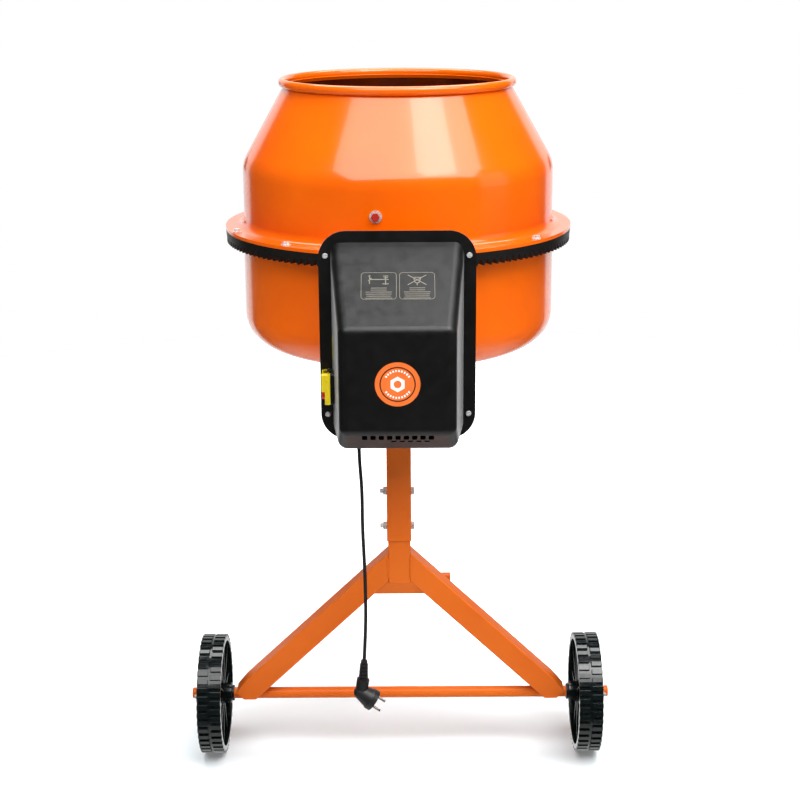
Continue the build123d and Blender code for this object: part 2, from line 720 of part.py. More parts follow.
def make_leg(side):
    """Square-tube leg from the foot of the post to the axle; side is +1 or -1 along X."""
    down = Vector(side * cos(radians(LEG_ANGLE)), 0, -sin(radians(LEG_ANGLE)))
    across = Vector(side * sin(radians(LEG_ANGLE)), 0, cos(radians(LEG_ANGLE)))
    top = Vector(side * LEG_TOP_X, -POST_Y, LEG_TOP_Z)
    end_start = top + down * (LEG_LENGTH - LEG_END)
    fall = radians(LEG_END_TURN)
    end_face = Plane(
        origin=end_start + across * (LEG / 2),
        x_dir=down * cos(fall) - across * sin(fall),
        z_dir=across * cos(fall) + down * sin(fall),
    )
    with BuildPart() as leg:
        add(square_tube(top, top + down * LEG_LENGTH, LEG, LEG_WALL, across))
        with BuildSketch(Plane(origin=end_start, z_dir=down, x_dir=across)):
            Rectangle(LEG - LEG_WALL, LEG - LEG_WALL)
        extrude(amount=LEG_END)
        with BuildSketch(end_face):
            Rectangle(3 * LEG_END, LEG + 2)
        extrude(amount=LEG, mode=Mode.SUBTRACT)
        with Locations((0, -POST_Y, LEG_TOP_Z)):
            Box(LOWER_POST + 0.1, 60, 300, mode=Mode.SUBTRACT)
        with Locations((side * 280, -POST_Y, LEG_FOOT_Z - 50)):
            Box(200, 60, 100, mode=Mode.SUBTRACT)
        add(axle_tool, mode=Mode.SUBTRACT)
    return leg


leg_left = make_leg(-1)
leg_right = make_leg(1)

with BuildPart() as leg_gusset:
    inner_half = LOWER_POST / 2 + 2.0
    with BuildSketch(across_y(-POST_Y + LEG / 2 - 2)):
        with BuildLine():
            Polyline(
                (-inner_half, LOWER_POST_Z),
                (inner_half, LOWER_POST_Z),
                (GUSSET_HALF_W, GUSSET_Z),
                (-GUSSET_HALF_W, GUSSET_Z),
                close=True,
            )
        make_face()
    extrude(amount=LEG + 2)
    with BuildSketch(across_x(-100)):
        with BuildLine():
            Polyline(
                (-POST_Y - LEG / 2 + 0.5, LOWER_POST_Z + 1),
                (-POST_Y - LEG / 2 + 0.5, LOWER_POST_Z - 2),
                (-POST_Y - LEG / 2 + 8, GUSSET_Z - 1),
                (-POST_Y + LEG / 2 - 1, GUSSET_Z - 1),
                (-POST_Y + LEG / 2 - 1, LOWER_POST_Z + 1),
                close=True,
            )
        make_face()
    extrude(amount=200, mode=Mode.INTERSECT)
    add([leg_left.part, leg_right.part], mode=Mode.SUBTRACT)

COTTER_X = HUB_OUT + 5.5
with BuildPart() as wheel_axle:
    add(rod((-AXLE_LENGTH / 2, -POST_Y, WHEEL_R), (AXLE_LENGTH / 2, -POST_Y, WHEEL_R), AXLE_R))
    chamfer(wheel_axle.edges(), 1.2)
    for side in (-1, 1):
        x = side * COTTER_X
        add(
            rod((x, -POST_Y - 15, WHEEL_R), (x, -POST_Y + 15, WHEEL_R), 1.6 + SNUG),
            mode=Mode.SUBTRACT,
        )

retainers = []
collars = []
for side in (-1, 1):
    x = side * COTTER_X
    with BuildPart() as retainer:
        add(rod((x, -POST_Y - 14, WHEEL_R), (x, -POST_Y + 14, WHEEL_R), 1.6))
        add(rod((x, -POST_Y - 17, WHEEL_R), (x, -POST_Y - 13, WHEEL_R), 3.0))
    with BuildPart() as washer:
        start = side * (HUB_OUT + GAP)
        add(rod((start, -POST_Y, WHEEL_R), (start + side * 3.4, -POST_Y, WHEEL_R), 14.0))
        add(axle_tool, mode=Mode.SUBTRACT)
    with BuildPart() as collar:
        start = side * (HUB_IN - GAP)
        add(rod((start, -POST_Y, WHEEL_R), (start - side * 4, -POST_Y, WHEEL_R), 14.0))
        add(axle_tool, mode=Mode.SUBTRACT)
    retainers += [retainer.part, washer.part]
    collars.append(collar.part)
with BuildPart() as axle_retainers:
    add(retainers)
with BuildPart() as axle_collars:
    add(collars)

RIM_OUT = WHEEL_R - 4.0
RIM_IN = WHEEL_R - 12.0
LUGS = 44


def make_wheel(side):
    """Ribbed plastic wheel with two rows of staggered lugs; side is +1 or -1 along X."""
    inner = side * WHEEL_IN
    away = Vector(side, 0, 0)
    face = Plane(origin=(inner, -POST_Y, WHEEL_R), x_dir=(0, 1, 0), z_dir=away)
    row = WHEEL_W / 2 - 2.0
    with BuildPart() as wheel:
        with BuildSketch(face):
            Circle(RIM_OUT)
            Circle(RIM_IN, mode=Mode.SUBTRACT)
        extrude(amount=WHEEL_W)
        with BuildSketch(face.offset(WHEEL_W / 2 + 6)):
            Circle(RIM_IN + 1)
        extrude(amount=4.0)
        for start, turn in ((0.0, 0.0), (WHEEL_W / 2 + 2.0, 180.0 / LUGS)):
            with BuildSketch(face.offset(start)):
                with PolarLocations(WHEEL_R - 2.5, LUGS, start_angle=turn):
                    Rectangle(5.0, 8.2)
            extrude(amount=row)
        with BuildSketch(face.offset(5.0)):
            with PolarLocations((RIM_IN + HUB_R) / 2, 10):
                Rectangle(RIM_IN - HUB_R + 3, 3.0)
        extrude(amount=WHEEL_W - 10.0)
        with BuildSketch(face.offset(-10.0)):
            Circle(HUB_R)
        extrude(amount=HUB_OUT - HUB_IN)
        with BuildSketch(face.offset(-11.0)):
            Circle(AXLE_R + RUN)
        extrude(amount=HUB_OUT - HUB_IN + 2, mode=Mode.SUBTRACT)
    return wheel


wheel_left = make_wheel(-1)
wheel_right = make_wheel(1)

# ---- motor and belt -----------------------------------------------------------------------------
MOTOR_FACE_Y = PLATE_FRONT_Y - 32.0
standoff_spots = [(x, MOTOR_Z + z) for x in (-46.0, 46.0) for z in (-46.0, 46.0)]

with BuildPart() as motor_plate:
    with BuildSketch(across_y(POST_FRONT_Y, COVER_LOW_Z + COVER_H / 2)):
        RectangleRounded(PLATE_W, PLATE_H, COVER_CORNER - 5)
    extrude(amount=PLATE_T)
    with BuildSketch(across_y(POST_FRONT_Y)):
        with Locations((0, PIVOT_Z)):
            Circle(SPINDLE_R + 2)
        for x in (-SCREW_X, SCREW_X):
            with Locations((x, SCREW_LOW_Z), (x, SCREW_TOP_Z)):
                Circle(2.2 + SNUG)
        with Locations(*standoff_spots):
            Circle(3.0 + SNUG)
    extrude(amount=PLATE_T, mode=Mode.SUBTRACT)
    add(plate_bolt_holes, mode=Mode.SUBTRACT)

with BuildPart() as motor_body:
    with BuildSketch(across_y(MOTOR_FACE_Y, MOTOR_Z)):
        RectangleRounded(112.0, 112.0, 14.0)
    extrude(amount=5.0)
    with BuildSketch(across_y(MOTOR_FACE_Y - 5, MOTOR_Z)):
        Circle(MOTOR_R - 4)
        with PolarLocations(MOTOR_R - 3, 28):
            Rectangle(6.0, 2.5)
    extrude(amount=72.0)
    with BuildSketch(across_y(MOTOR_FACE_Y - 77, MOTOR_Z)):
        Circle(MOTOR_R)
    extrude(amount=20.0, taper=12)
    add(
        rod((0, MOTOR_FACE_Y + 5, MOTOR_Z), (0, MOTOR_FACE_Y - 40, MOTOR_Z), 7.0 + RUN),
        mode=Mode.SUBTRACT,
    )
    with BuildSketch(across_y(MOTOR_FACE_Y, 0)):
        with Locations(*standoff_spots):
            Circle(3.0 + SNUG)
    extrude(amount=5.0, mode=Mode.SUBTRACT)

with BuildPart() as motor_standoffs:
    for x, z in standoff_spots:
        add(rod((x, PLATE_FRONT_Y, z), (x, MOTOR_FACE_Y, z), 6.0))
        add(rod((x, POST_FRONT_Y, z), (x, MOTOR_FACE_Y - 8, z), 3.0))
        add(hexagon((x, POST_FRONT_Y, z), (x, POST_FRONT_Y + 4, z), 10.0))

with BuildPart() as motor_rotor:
    add(rod((0, BELT_Y + 10, MOTOR_Z), (0, MOTOR_FACE_Y - 38, MOTOR_Z), 7.0))
    with BuildSketch(across_x(0, BELT_Y, MOTOR_Z)):
        with BuildLine():
            Polyline(
                (-8, 6.0),
                (8, 6.0),
                (8, DRIVING_R + 3),
                (6.5, DRIVING_R + 3),
                (6.5, DRIVING_R),
                (-6.5, DRIVING_R),
                (-6.5, DRIVING_R + 3),
                (-8, DRIVING_R + 3),
                close=True,
            )
        make_face()
    revolve(axis=Axis((0, 0, MOTOR_Z), (0, 1, 0)))

with BuildPart() as drive_belt:
    for grow, mode in ((SOFT_GAP + BELT_T, Mode.ADD), (SOFT_GAP, Mode.SUBTRACT)):
        with BuildSketch(across_y(BELT_Y + 5.5)):
            with Locations((0, PIVOT_Z)):
                Circle(DRIVEN_R + grow)
            with Locations((0, MOTOR_Z)):
                Circle(DRIVING_R + grow)
            make_hull()
        extrude(amount=11.0, mode=mode)

with BuildPart() as capacitor:
    add(rod((70, PLATE_FRONT_Y, 778), (70, PLATE_FRONT_Y - 72, 778), 16.0))
    fillet(capacitor.faces().sort_by(Axis.Y)[0].edges(), 2.0)

# ---- cover --------------------------------------------------------------------------------------
side_view = [
    (COVER_FRONT_Y, BODY_TOP_Z),
    (NOSE_Y, NOSE_TOP_Z),
    (NOSE_Y, NOSE_LOW_Z),
    (CHAMFER_Y, BODY_LOW_Z),
    (COVER_FRONT_Y, BODY_LOW_Z),
]
GLAND_X = -66.0
gland_hole = rod((GLAND_X, CORD_Y, 590), (GLAND_X, CORD_Y, 625), 8.0 + SNUG)
with BuildPart() as cover_body:
    with BuildSketch(across_x(-BODY_HALF_W)):
        with BuildLine():
            Polyline(*side_view, close=True)
        make_face()
    extrude(amount=2 * BODY_HALF_W)
    with BuildSketch(Plane.XY.offset(500)):
        with BuildLine():
            Polyline(
                (-BODY_HALF_W, COVER_FRONT_Y),
                (BODY_HALF_W, COVER_FRONT_Y),
                (NOSE_HALF_W, NOSE_Y),
                (-NOSE_HALF_W, NOSE_Y),
                close=True,
            )
        make_face()
    extrude(amount=500, mode=Mode.INTERSECT)
    back = cover_body.faces().sort_by(Axis.Y)[-1]
    outer_edges = cover_body.edges() - back.edges()
    fillet(outer_edges, BODY_FILLET)
    offset(amount=-COVER_WALL, openings=cover_body.faces().sort_by(Axis.Y)[-1])

with BuildPart() as motor_cover:
    add(cover_body.part)
    middle_z = COVER_LOW_Z + COVER_H / 2
    with BuildSketch(across_y(PLATE_FRONT_Y, middle_z)):
        RectangleRounded(COVER_W, COVER_H, COVER_CORNER)
        with Locations((0, (BODY_TOP_Z + BODY_LOW_Z) / 2 - middle_z)):
            inside_h = BODY_TOP_Z - BODY_LOW_Z - 2 * COVER_WALL
            inside_w = 2 * (BODY_HALF_W - COVER_WALL)
            RectangleRounded(inside_w, inside_h, BODY_FILLET - COVER_WALL, mode=Mode.SUBTRACT)
        for x in (-SCREW_X, SCREW_X):
            with Locations((x, SCREW_LOW_Z - middle_z), (x, SCREW_TOP_Z - middle_z)):
                Circle(2.2 + SNUG, mode=Mode.SUBTRACT)
    extrude(amount=COVER_FLANGE)
    add(gland_hole, mode=Mode.SUBTRACT)
    slope = degrees(atan2(NOSE_LOW_Z - BODY_LOW_Z, CHAMFER_Y - NOSE_Y))
    along = Vector(0, cos(radians(slope)), -sin(radians(slope)))
    start = Vector(0, NOSE_Y, NOSE_LOW_Z) + along * 14.0
    with BuildSketch(Plane(origin=start, x_dir=(1, 0, 0), z_dir=Vector(1, 0, 0).cross(along))):
        with GridLocations(VENT_PITCH, 1, 9, 1):
            RectangleRounded(VENT_W, 15.0, 1.5)
        with Locations((1.5 * VENT_PITCH, 13.5)):
            with GridLocations(VENT_PITCH, 1, 5, 1):
                RectangleRounded(VENT_W, 5.0, 1.5)
    extrude(amount=12.0, both=True, mode=Mode.SUBTRACT)

with BuildPart() as cover_screws:
    for x in (-SCREW_X, SCREW_X):
        for z in (SCREW_LOW_Z, SCREW_TOP_Z):
            add(rod((x, COVER_FRONT_Y - 1, z), (x, POST_FRONT_Y + 5, z), 2.2))
            with BuildSketch(across_y(COVER_FRONT_Y, z, x)):
                Circle(4.8)
            extrude(amount=2.8, taper=20)

# ---- switch on the side of the cover ------------------------------------------------------------
def switch_rod(x_from, x_to, rise, radius):
    """Bar along X through the switch, at a height above its middle."""
    z = SWITCH_Z + rise
    return rod((x_from, SWITCH_Y, z), (x_to, SWITCH_Y, z), radius)


def hinge_rod(half_length, radius):
    """Bar along the flap's hinge line."""
    return rod(
        (HINGE_X, SWITCH_Y - half_length, HINGE_Z), (HINGE_X, SWITCH_Y + half_length, HINGE_Z), radius
    )


with BuildPart() as cover_outline:
    with BuildSketch(Plane.XY.offset(SWITCH_Z - 60)):
        with BuildLine():
            Polyline(
                (-BODY_HALF_W, COVER_FRONT_Y),
                (BODY_HALF_W, COVER_FRONT_Y),
                (NOSE_HALF_W, NOSE_Y),
                (-NOSE_HALF_W, NOSE_Y),
                close=True,
            )
        make_face()
    extrude(amount=120)

with BuildPart() as switch_box:
    with BuildSketch(across_x(SWITCH_FACE_X, SWITCH_Y, SWITCH_Z)):
        RectangleRounded(SWITCH_DEPTH, SWITCH_H, 3.0)
    extrude(amount=15.0)
    add(cover_outline.part, mode=Mode.SUBTRACT)
    add(switch_rod(-120, -100, START_RISE, 5.0 + GAP), mode=Mode.SUBTRACT)
    add(hinge_rod(8, 3.2))
    with BuildSketch(across_x(HINGE_X, SWITCH_Y, HINGE_Z)):
        Rectangle(16.0, 6.4)
    extrude(amount=SWITCH_FACE_X - HINGE_X + 1)
    add(hinge_rod(20, 1.5 + RUN), mode=Mode.SUBTRACT)

with BuildPart() as start_button:
    add(switch_rod(SWITCH_FACE_X - 3.5, SWITCH_FACE_X + 0.7, START_RISE, 5.0))

FLAP_LOW_Z = SWITCH_Z - SWITCH_H / 2 - 0.5
FLAP_STEP_Z = SWITCH_Z - STOP_DROP + STOP_R + 1.0
FLAP_DEPTH = SWITCH_DEPTH + 1.0
FLAP_WALL = 2.5
flap_pockets = (
    (FLAP_OUT_X, FLAP_STEP_Z + FLAP_WALL, HINGE_Z - 0.5),
    (FLAP_STEP_X, FLAP_LOW_Z + FLAP_WALL, FLAP_STEP_Z + FLAP_WALL + 1.0),
)
with BuildPart() as switch_flap:
    with BuildSketch(across_x(FLAP_OUT_X, SWITCH_Y, (FLAP_LOW_Z + HINGE_Z) / 2)):
        RectangleRounded(FLAP_DEPTH, HINGE_Z - FLAP_LOW_Z, 3.0)
    extrude(amount=SWITCH_FACE_X - 0.5 - FLAP_OUT_X)
    fillet(switch_flap.faces().sort_by(Axis.X)[0].edges(), 2.0)
    with Locations((FLAP_STEP_X - 10, SWITCH_Y, FLAP_STEP_Z - 20)):
        Box(20, FLAP_DEPTH + 5, 40, mode=Mode.SUBTRACT)
    for outer_x, low_z, high_z in flap_pockets:
        with BuildSketch(across_x(outer_x + FLAP_WALL, SWITCH_Y, (low_z + high_z) / 2)):
            Rectangle(FLAP_DEPTH - 2 * FLAP_WALL + 0.5, high_z - low_z)
        extrude(amount=30.0, mode=Mode.SUBTRACT)
    add(switch_rod(-140, -110, -STOP_DROP, STOP_R + GAP), mode=Mode.SUBTRACT)
    with BuildSketch(across_x(-140, SWITCH_Y, HINGE_Z + 1)):
        Rectangle(19.0, 20.0)
    extrude(amount=40.0, mode=Mode.SUBTRACT)
    add(hinge_rod(17, 1.5))

with BuildPart() as stop_button:
    add(switch_rod(FLAP_OUT_X + 0.2, FLAP_STEP_X + 4.0, -STOP_DROP, STOP_R))
    fillet(stop_button.faces().sort_by(Axis.X)[0].edges(), 1.5)
    add(switch_rod(FLAP_STEP_X + FLAP_WALL + GAP, FLAP_STEP_X + 5.6, -STOP_DROP, STOP_R + 2))

# ---- mains cable --------------------------------------------------------------------------------
BUSH_LOW_Z = 594.0
with BuildPart() as cable_gland:
    add(rod((GLAND_X, CORD_Y, 601.0), (GLAND_X, CORD_Y, BODY_LOW_Z), 11.0))
    add(rod((GLAND_X, CORD_Y, BODY_LOW_Z), (GLAND_X, CORD_Y, 615), 8.0))
    with BuildSketch(Plane(origin=(GLAND_X, CORD_Y, 601.0), z_dir=(0, 0, -1))):
        Circle(8.0)
    extrude(amount=601.0 - BUSH_LOW_Z, taper=12)
    add(rod((GLAND_X, CORD_Y, 590), (GLAND_X, CORD_Y, 620), CORD_R + SNUG), mode=Mode.SUBTRACT)

route = [
    (GLAND_X, CORD_Y, 612.0),
    (GLAND_X, CORD_Y, 577.0),
    (-61.6, CORD_Y, 518.0),
    (-62.0, CORD_Y, 452.0),
    (-59.0, CORD_Y, 378.0),
    (-57.8, CORD_Y, 308.0),
    (-59.3, CORD_Y, 251.0),
    (-62.4, CORD_Y, 198.0),
]


def bend_radii(points):
    """Fillet radius at each inner point: 0.45 of the shorter run over the tangent of half the turn."""
    radii = []
    for before, here, after in zip(points, points[1:], points[2:]):
        first = Vector(*here) - Vector(*before)
        second = Vector(*after) - Vector(*here)
        half_turn = radians(first.get_angle(second)) / 2
        radii.append(0.45 * min(first.length, second.length) / tan(half_turn))
    return radii


radii = bend_radii(route)
print("cable bend radii, mm:", [round(radius, 1) for radius in radii])
with BuildPart() as mains_cable:
    with BuildLine() as run_line:
        FilletPolyline(*route, radius=radii)
    with BuildSketch(Plane(origin=route[0], z_dir=(0, 0, -1))):
        Circle(CORD_R)
    sweep(path=run_line.wire())
print("cable length, mm:", round(run_line.wire().length, 1))
plain_volume = pi * CORD_R**2 * run_line.wire().length
print("cable volume over section times length:", round(mains_cable.part.volume / plain_volume, 4))

last_run = (Vector(*route[-1]) - Vector(*route[-2])).normalized()
plug_face = Vector(-45.8, CORD_Y, 126.3)
plug_out = Vector(0.812, 0, -0.584)
elbow = Vector(-68.0, CORD_Y, 143.0)
relief_top = Vector(*route[-1]) - last_run * 6.0
relief_low = Vector(*route[-1]) + last_run * 30.0
pin_side = Vector(-0.438, -0.66, -0.609)
with BuildPart() as plug_body:
    with BuildSketch(Plane(origin=plug_face, z_dir=plug_out * -1)):
        Circle(19.0)
    extrude(amount=9.0)
    with BuildSketch(Plane(origin=plug_face - plug_out * 8.5, z_dir=plug_out * -1)):
        Circle(18.0)
    extrude(amount=22.0, taper=14)
    with Locations(elbow):
        Sphere(13.0)
    add(rod(elbow, relief_low, 11.0))
    for step in range(5):
        ring = relief_low - last_run * (6.5 * step - 1.0)
        add(rod(ring, ring - last_run * 4.0, 8.2 - 0.3 * step))
    add(rod(relief_low, relief_top, 5.6))
    cable_bore = rod(
        Vector(*route[-1]) + last_run * 0.5, relief_top - last_run * 5, CORD_R + SNUG
    )
    add(cable_bore, mode=Mode.SUBTRACT)
    for side in (-1, 1):
        foot = plug_face + pin_side * (9.5 * side)
        add(rod(foot - plug_out * 8, foot + plug_out * 2, 2.4 + SNUG), mode=Mode.SUBTRACT)

with BuildPart() as plug_pins:
    for side in (-1, 1):
        foot = plug_face + pin_side * (9.5 * side)
        add(rod(foot - plug_out * 8, foot + plug_out * 18, 2.4))

# ---- handwheel ----------------------------------------------------------------------------------
HUB_BACK_Y = HANDWHEEL_Y - 15.0
HUB_FRONT_Y = HANDWHEEL_Y + 15.0
with BuildPart() as handwheel:
    with BuildSketch(Plane.XY.offset(PIVOT_Z)):
        with Locations((HANDWHEEL_R, HANDWHEEL_Y)):
            Circle(HANDWHEEL_TUBE)
    revolve(axis=Axis((0, 0, PIVOT_Z), (0, 1, 0)))
    with BuildSketch(across_y(HUB_FRONT_Y, PIVOT_Z)):
        Circle(30.0)
    extrude(amount=HUB_FRONT_Y - HUB_BACK_Y)
    for turn in (90, 210, 330):
        end_x = HANDWHEEL_R * cos(radians(turn))
        end_z = PIVOT_Z + HANDWHEEL_R * sin(radians(turn))
        add(rod((0, HANDWHEEL_Y, PIVOT_Z), (end_x, HANDWHEEL_Y, end_z), 7.0))
    lock_pin_z = PIVOT_Z + LOCK_R + 2
    disc_face = POST_Y + POST / 2 + 5.0
    add(rod((0, HANDWHEEL_Y, lock_pin_z), (0, disc_face + 2 * GAP, lock_pin_z), 5.5))
    with BuildSketch(across_y(HUB_FRONT_Y + 1, PIVOT_Z)):
        RectangleRounded(SQUARE + 2 * RUN, SQUARE + 2 * RUN, 2.0 + RUN)
    extrude(amount=HUB_FRONT_Y - HUB_BACK_Y + 2, mode=Mode.SUBTRACT)

SPRING_END_Y = SPINDLE_END_Y - 20.0
COILS = 7
WIRE_R = 1.6
coil_length = SPRING_END_Y - HUB_FRONT_Y - 2 * WIRE_R - 2 * SOFT_GAP
coil_start = Plane(origin=(0, HUB_FRONT_Y + WIRE_R + SOFT_GAP, PIVOT_Z), z_dir=(0, 1, 0))
coil = coil_start * Helix(pitch=coil_length / COILS, height=coil_length, radius=21.0)
with BuildPart() as handwheel_spring:
    with BuildSketch(Plane(origin=coil @ 0, z_dir=coil % 0)):
        Circle(WIRE_R)
    sweep(path=coil, is_frenet=True)

# ---- write the sub-parts ------------------------------------------------------------------------
sub_parts = {
    "drum_upper": drum_upper,
    "drum_lower": drum_lower,
    "ring_gear": ring_gear,
    "ring_bolts": ring_bolts,
    "blade_near": blade_near,
    "blade_far": blade_far,
    "blade_bolts": blade_bolts,
    "blade_seals": blade_seals,
    "drum_hub": drum_hub,
    "hub_bolts": hub_bolts,
    "pinion": pinion,
    "drive_shaft": drive_shaft,
    "driven_pulley": driven_pulley,
    "yoke_base": yoke_base,
    "yoke_arm_near": yoke_arm_near,
    "yoke_arm_far": yoke_arm_far,
    "tilt_sleeve": tilt_sleeve,
    "shaft_bushes": shaft_bushes,
    "far_spindle": far_spindle,
    "drum_spindle": drum_spindle,
    "thrust_washer": thrust_washer,
    "tilt_washers": tilt_washers,
    "spindle_end_nut": spindle_end_nut,
    "upper_post": upper_post,
    "lower_post": lower_post,
    "post_bolts": post_bolts,
    "near_housing": near_housing,
    "far_housing": far_housing,
    "far_post": far_post,
    "far_foot": far_foot,
    "stretcher": stretcher,
    "stretcher_bolts": stretcher_bolts,
    "lock_disc": lock_disc,
    "leg_left": leg_left,
    "leg_right": leg_right,
    "leg_gusset": leg_gusset,
    "wheel_axle": wheel_axle,
    "axle_retainers": axle_retainers,
    "axle_collars": axle_collars,
    "wheel_left": wheel_left,
    "wheel_right": wheel_right,
    "motor_plate": motor_plate,
    "plate_bolts": plate_bolts,
    "motor_body": motor_body,
    "motor_standoffs": motor_standoffs,
    "motor_rotor": motor_rotor,
    "drive_belt": drive_belt,
    "capacitor": capacitor,
    "motor_cover": motor_cover,
    "cover_screws": cover_screws,
    "switch_box": switch_box,
    "switch_flap": switch_flap,
    "start_button": start_button,
    "stop_button": stop_button,
    "cable_gland": cable_gland,
    "mains_cable": mains_cable,
    "plug_body": plug_body,
    "plug_pins": plug_pins,
    "handwheel": handwheel,
    "handwheel_spring": handwheel_spring,
}
for label, builder in sub_parts.items():
    builder.part.label = label
    export_step(builder.part, f"parts/{label}.step")
print(len(sub_parts), "sub-parts written")
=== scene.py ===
"""Looks of the tilting-drum concrete mixer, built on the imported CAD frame. Metres, +Z up."""

import json
import math
import random

import bmesh
import bpy
from mathutils import Matrix, Vector


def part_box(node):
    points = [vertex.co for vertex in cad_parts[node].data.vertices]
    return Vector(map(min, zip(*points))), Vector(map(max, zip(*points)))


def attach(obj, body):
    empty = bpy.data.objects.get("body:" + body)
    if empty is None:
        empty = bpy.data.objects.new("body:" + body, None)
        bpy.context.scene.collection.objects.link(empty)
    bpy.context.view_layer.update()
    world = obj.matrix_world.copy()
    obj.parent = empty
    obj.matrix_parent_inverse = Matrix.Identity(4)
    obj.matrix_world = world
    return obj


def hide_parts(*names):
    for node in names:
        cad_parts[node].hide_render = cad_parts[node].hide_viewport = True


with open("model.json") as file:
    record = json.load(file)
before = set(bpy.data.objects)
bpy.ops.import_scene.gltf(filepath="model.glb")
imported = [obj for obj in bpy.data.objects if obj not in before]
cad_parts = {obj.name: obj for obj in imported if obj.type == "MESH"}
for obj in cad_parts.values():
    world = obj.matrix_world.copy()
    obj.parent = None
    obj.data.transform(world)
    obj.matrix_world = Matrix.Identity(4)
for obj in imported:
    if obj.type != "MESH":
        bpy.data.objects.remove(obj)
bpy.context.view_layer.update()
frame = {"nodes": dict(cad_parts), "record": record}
nodes = frame["nodes"]
MM = 0.001


# ---- shader helpers -----------------------------------------------------------------------------
finishes = {}


def new_material(name):
    """A node material, kept under its name in finishes; gives its node tree and shader."""
    material = bpy.data.materials.new(name)
    material.use_nodes = True
    finishes[name] = material
    tree = material.node_tree
    return tree, tree.nodes["Principled BSDF"]


def feed(tree, value, socket):
    """Sets a socket to a number, or links it to another socket."""
    if isinstance(value, (int, float)):
        socket.default_value = value
    else:
        tree.links.new(value, socket)


def math_node(tree, operation, first, second=0.0):
    node = tree.nodes.new("ShaderNodeMath")
    node.operation = operation
    feed(tree, first, node.inputs[0])
    feed(tree, second, node.inputs[1])
    return node.outputs["Value"]


def blend_values(tree, factor, first, second):
    """Mix of two numbers or sockets by a factor."""
    node = tree.nodes.new("ShaderNodeMix")
    tree.links.new(factor, node.inputs["Factor"])
    feed(tree, first, node.inputs["A"])
    feed(tree, second, node.inputs["B"])
    return node.outputs["Result"]


def smooth_step(tree, value, start, end, low=0.0):
    """Goes smoothly from low to 1 as a value goes from start to end."""
    node = tree.nodes.new("ShaderNodeMapRange")
    node.interpolation_type = "SMOOTHSTEP"
    node.inputs["From Min"].default_value = start
    node.inputs["From Max"].default_value = end
    node.inputs["To Min"].default_value = low
    tree.links.new(value, node.inputs["Value"])
    return node.outputs["Result"]


def object_place(tree):
    """The part's own coordinates, in metres."""
    return tree.nodes.new("ShaderNodeTexCoord").outputs["Object"]


def object_noise(tree, scale, detail=4.0, roughness=0.5, stretch=(1, 1, 1)):
    """Noise in the part's own coordinates."""
    mapping = tree.nodes.new("ShaderNodeMapping")
    mapping.inputs["Scale"].default_value = stretch
    noise = tree.nodes.new("ShaderNodeTexNoise")
    noise.inputs["Scale"].default_value = scale
    noise.inputs["Detail"].default_value = detail
    noise.inputs["Roughness"].default_value = roughness
    tree.links.new(object_place(tree), mapping.inputs["Vector"])
    tree.links.new(mapping.outputs["Vector"], noise.inputs["Vector"])
    return noise.outputs["Fac"]


def object_cells(tree, scale):
    """Distance to the nearest cell centre, in the part's own coordinates."""
    cells = tree.nodes.new("ShaderNodeTexVoronoi")
    cells.inputs["Scale"].default_value = scale
    tree.links.new(object_place(tree), cells.inputs["Vector"])
    return cells.outputs["Distance"]


def blend_colours(tree, value, low, high, first=0.3, last=0.7):
    """Goes from colour low to colour high as a value goes from first to last."""
    node = tree.nodes.new("ShaderNodeValToRGB")
    stops = ((first, low), (last, high))
    for element, (position, colour) in zip(node.color_ramp.elements, stops):
        element.position = position
        element.color = (*colour, 1.0)
    tree.links.new(value, node.inputs["Fac"])
    return node.outputs["Color"]


def spread(tree, noise, low, high):
    """Maps the middle of a noise onto a range."""
    node = tree.nodes.new("ShaderNodeMapRange")
    node.inputs["From Min"].default_value = 0.3
    node.inputs["From Max"].default_value = 0.7
    node.inputs["To Min"].default_value = low
    node.inputs["To Max"].default_value = high
    tree.links.new(noise, node.inputs["Value"])
    return node.outputs["Result"]


def add_bump(tree, shader, height, strength, distance):
    """Adds a bump on top of those the shader already has."""
    node = tree.nodes.new("ShaderNodeBump")
    node.inputs["Strength"].default_value = strength
    node.inputs["Distance"].default_value = distance
    tree.links.new(height, node.inputs["Height"])
    previous = shader.inputs["Normal"].links
    if previous:
        tree.links.new(previous[0].from_socket, node.inputs["Normal"])
    tree.links.new(node.outputs["Normal"], shader.inputs["Normal"])


def scaled(colour, share):
    return tuple(min(1.0, part * share) for part in colour)


# ---- materials ----------------------------------------------------------------------------------
CLEAR_ROUGHNESS = 0.06


def varied(name, colour, rough, metallic=0.0, tint=0.06, fine=900.0, bump=0.05, clear=0.0):
    """A surface with slow colour change, patchy roughness, a fine bump and perhaps a clear coat."""
    tree, shader = new_material(name)
    shade = blend_colours(
        tree, object_noise(tree, 60.0), scaled(colour, 1 - tint), scaled(colour, 1 + tint)
    )
    tree.links.new(shade, shader.inputs["Base Color"])
    patches = object_noise(tree, 138.0, detail=3.0)
    tree.links.new(spread(tree, patches, rough - 0.05, rough + 0.05), shader.inputs["Roughness"])
    add_bump(tree, shader, object_noise(tree, fine, detail=2.0), bump, 0.2 * MM)
    shader.inputs["Metallic"].default_value = metallic
    shader.inputs["Coat Weight"].default_value = clear
    shader.inputs["Coat Roughness"].default_value = CLEAR_ROUGHNESS


INSIDE_TOP_Z = 1.148
INWARD = -0.02  # metres from the drum's axis times the outward share of the surface's direction


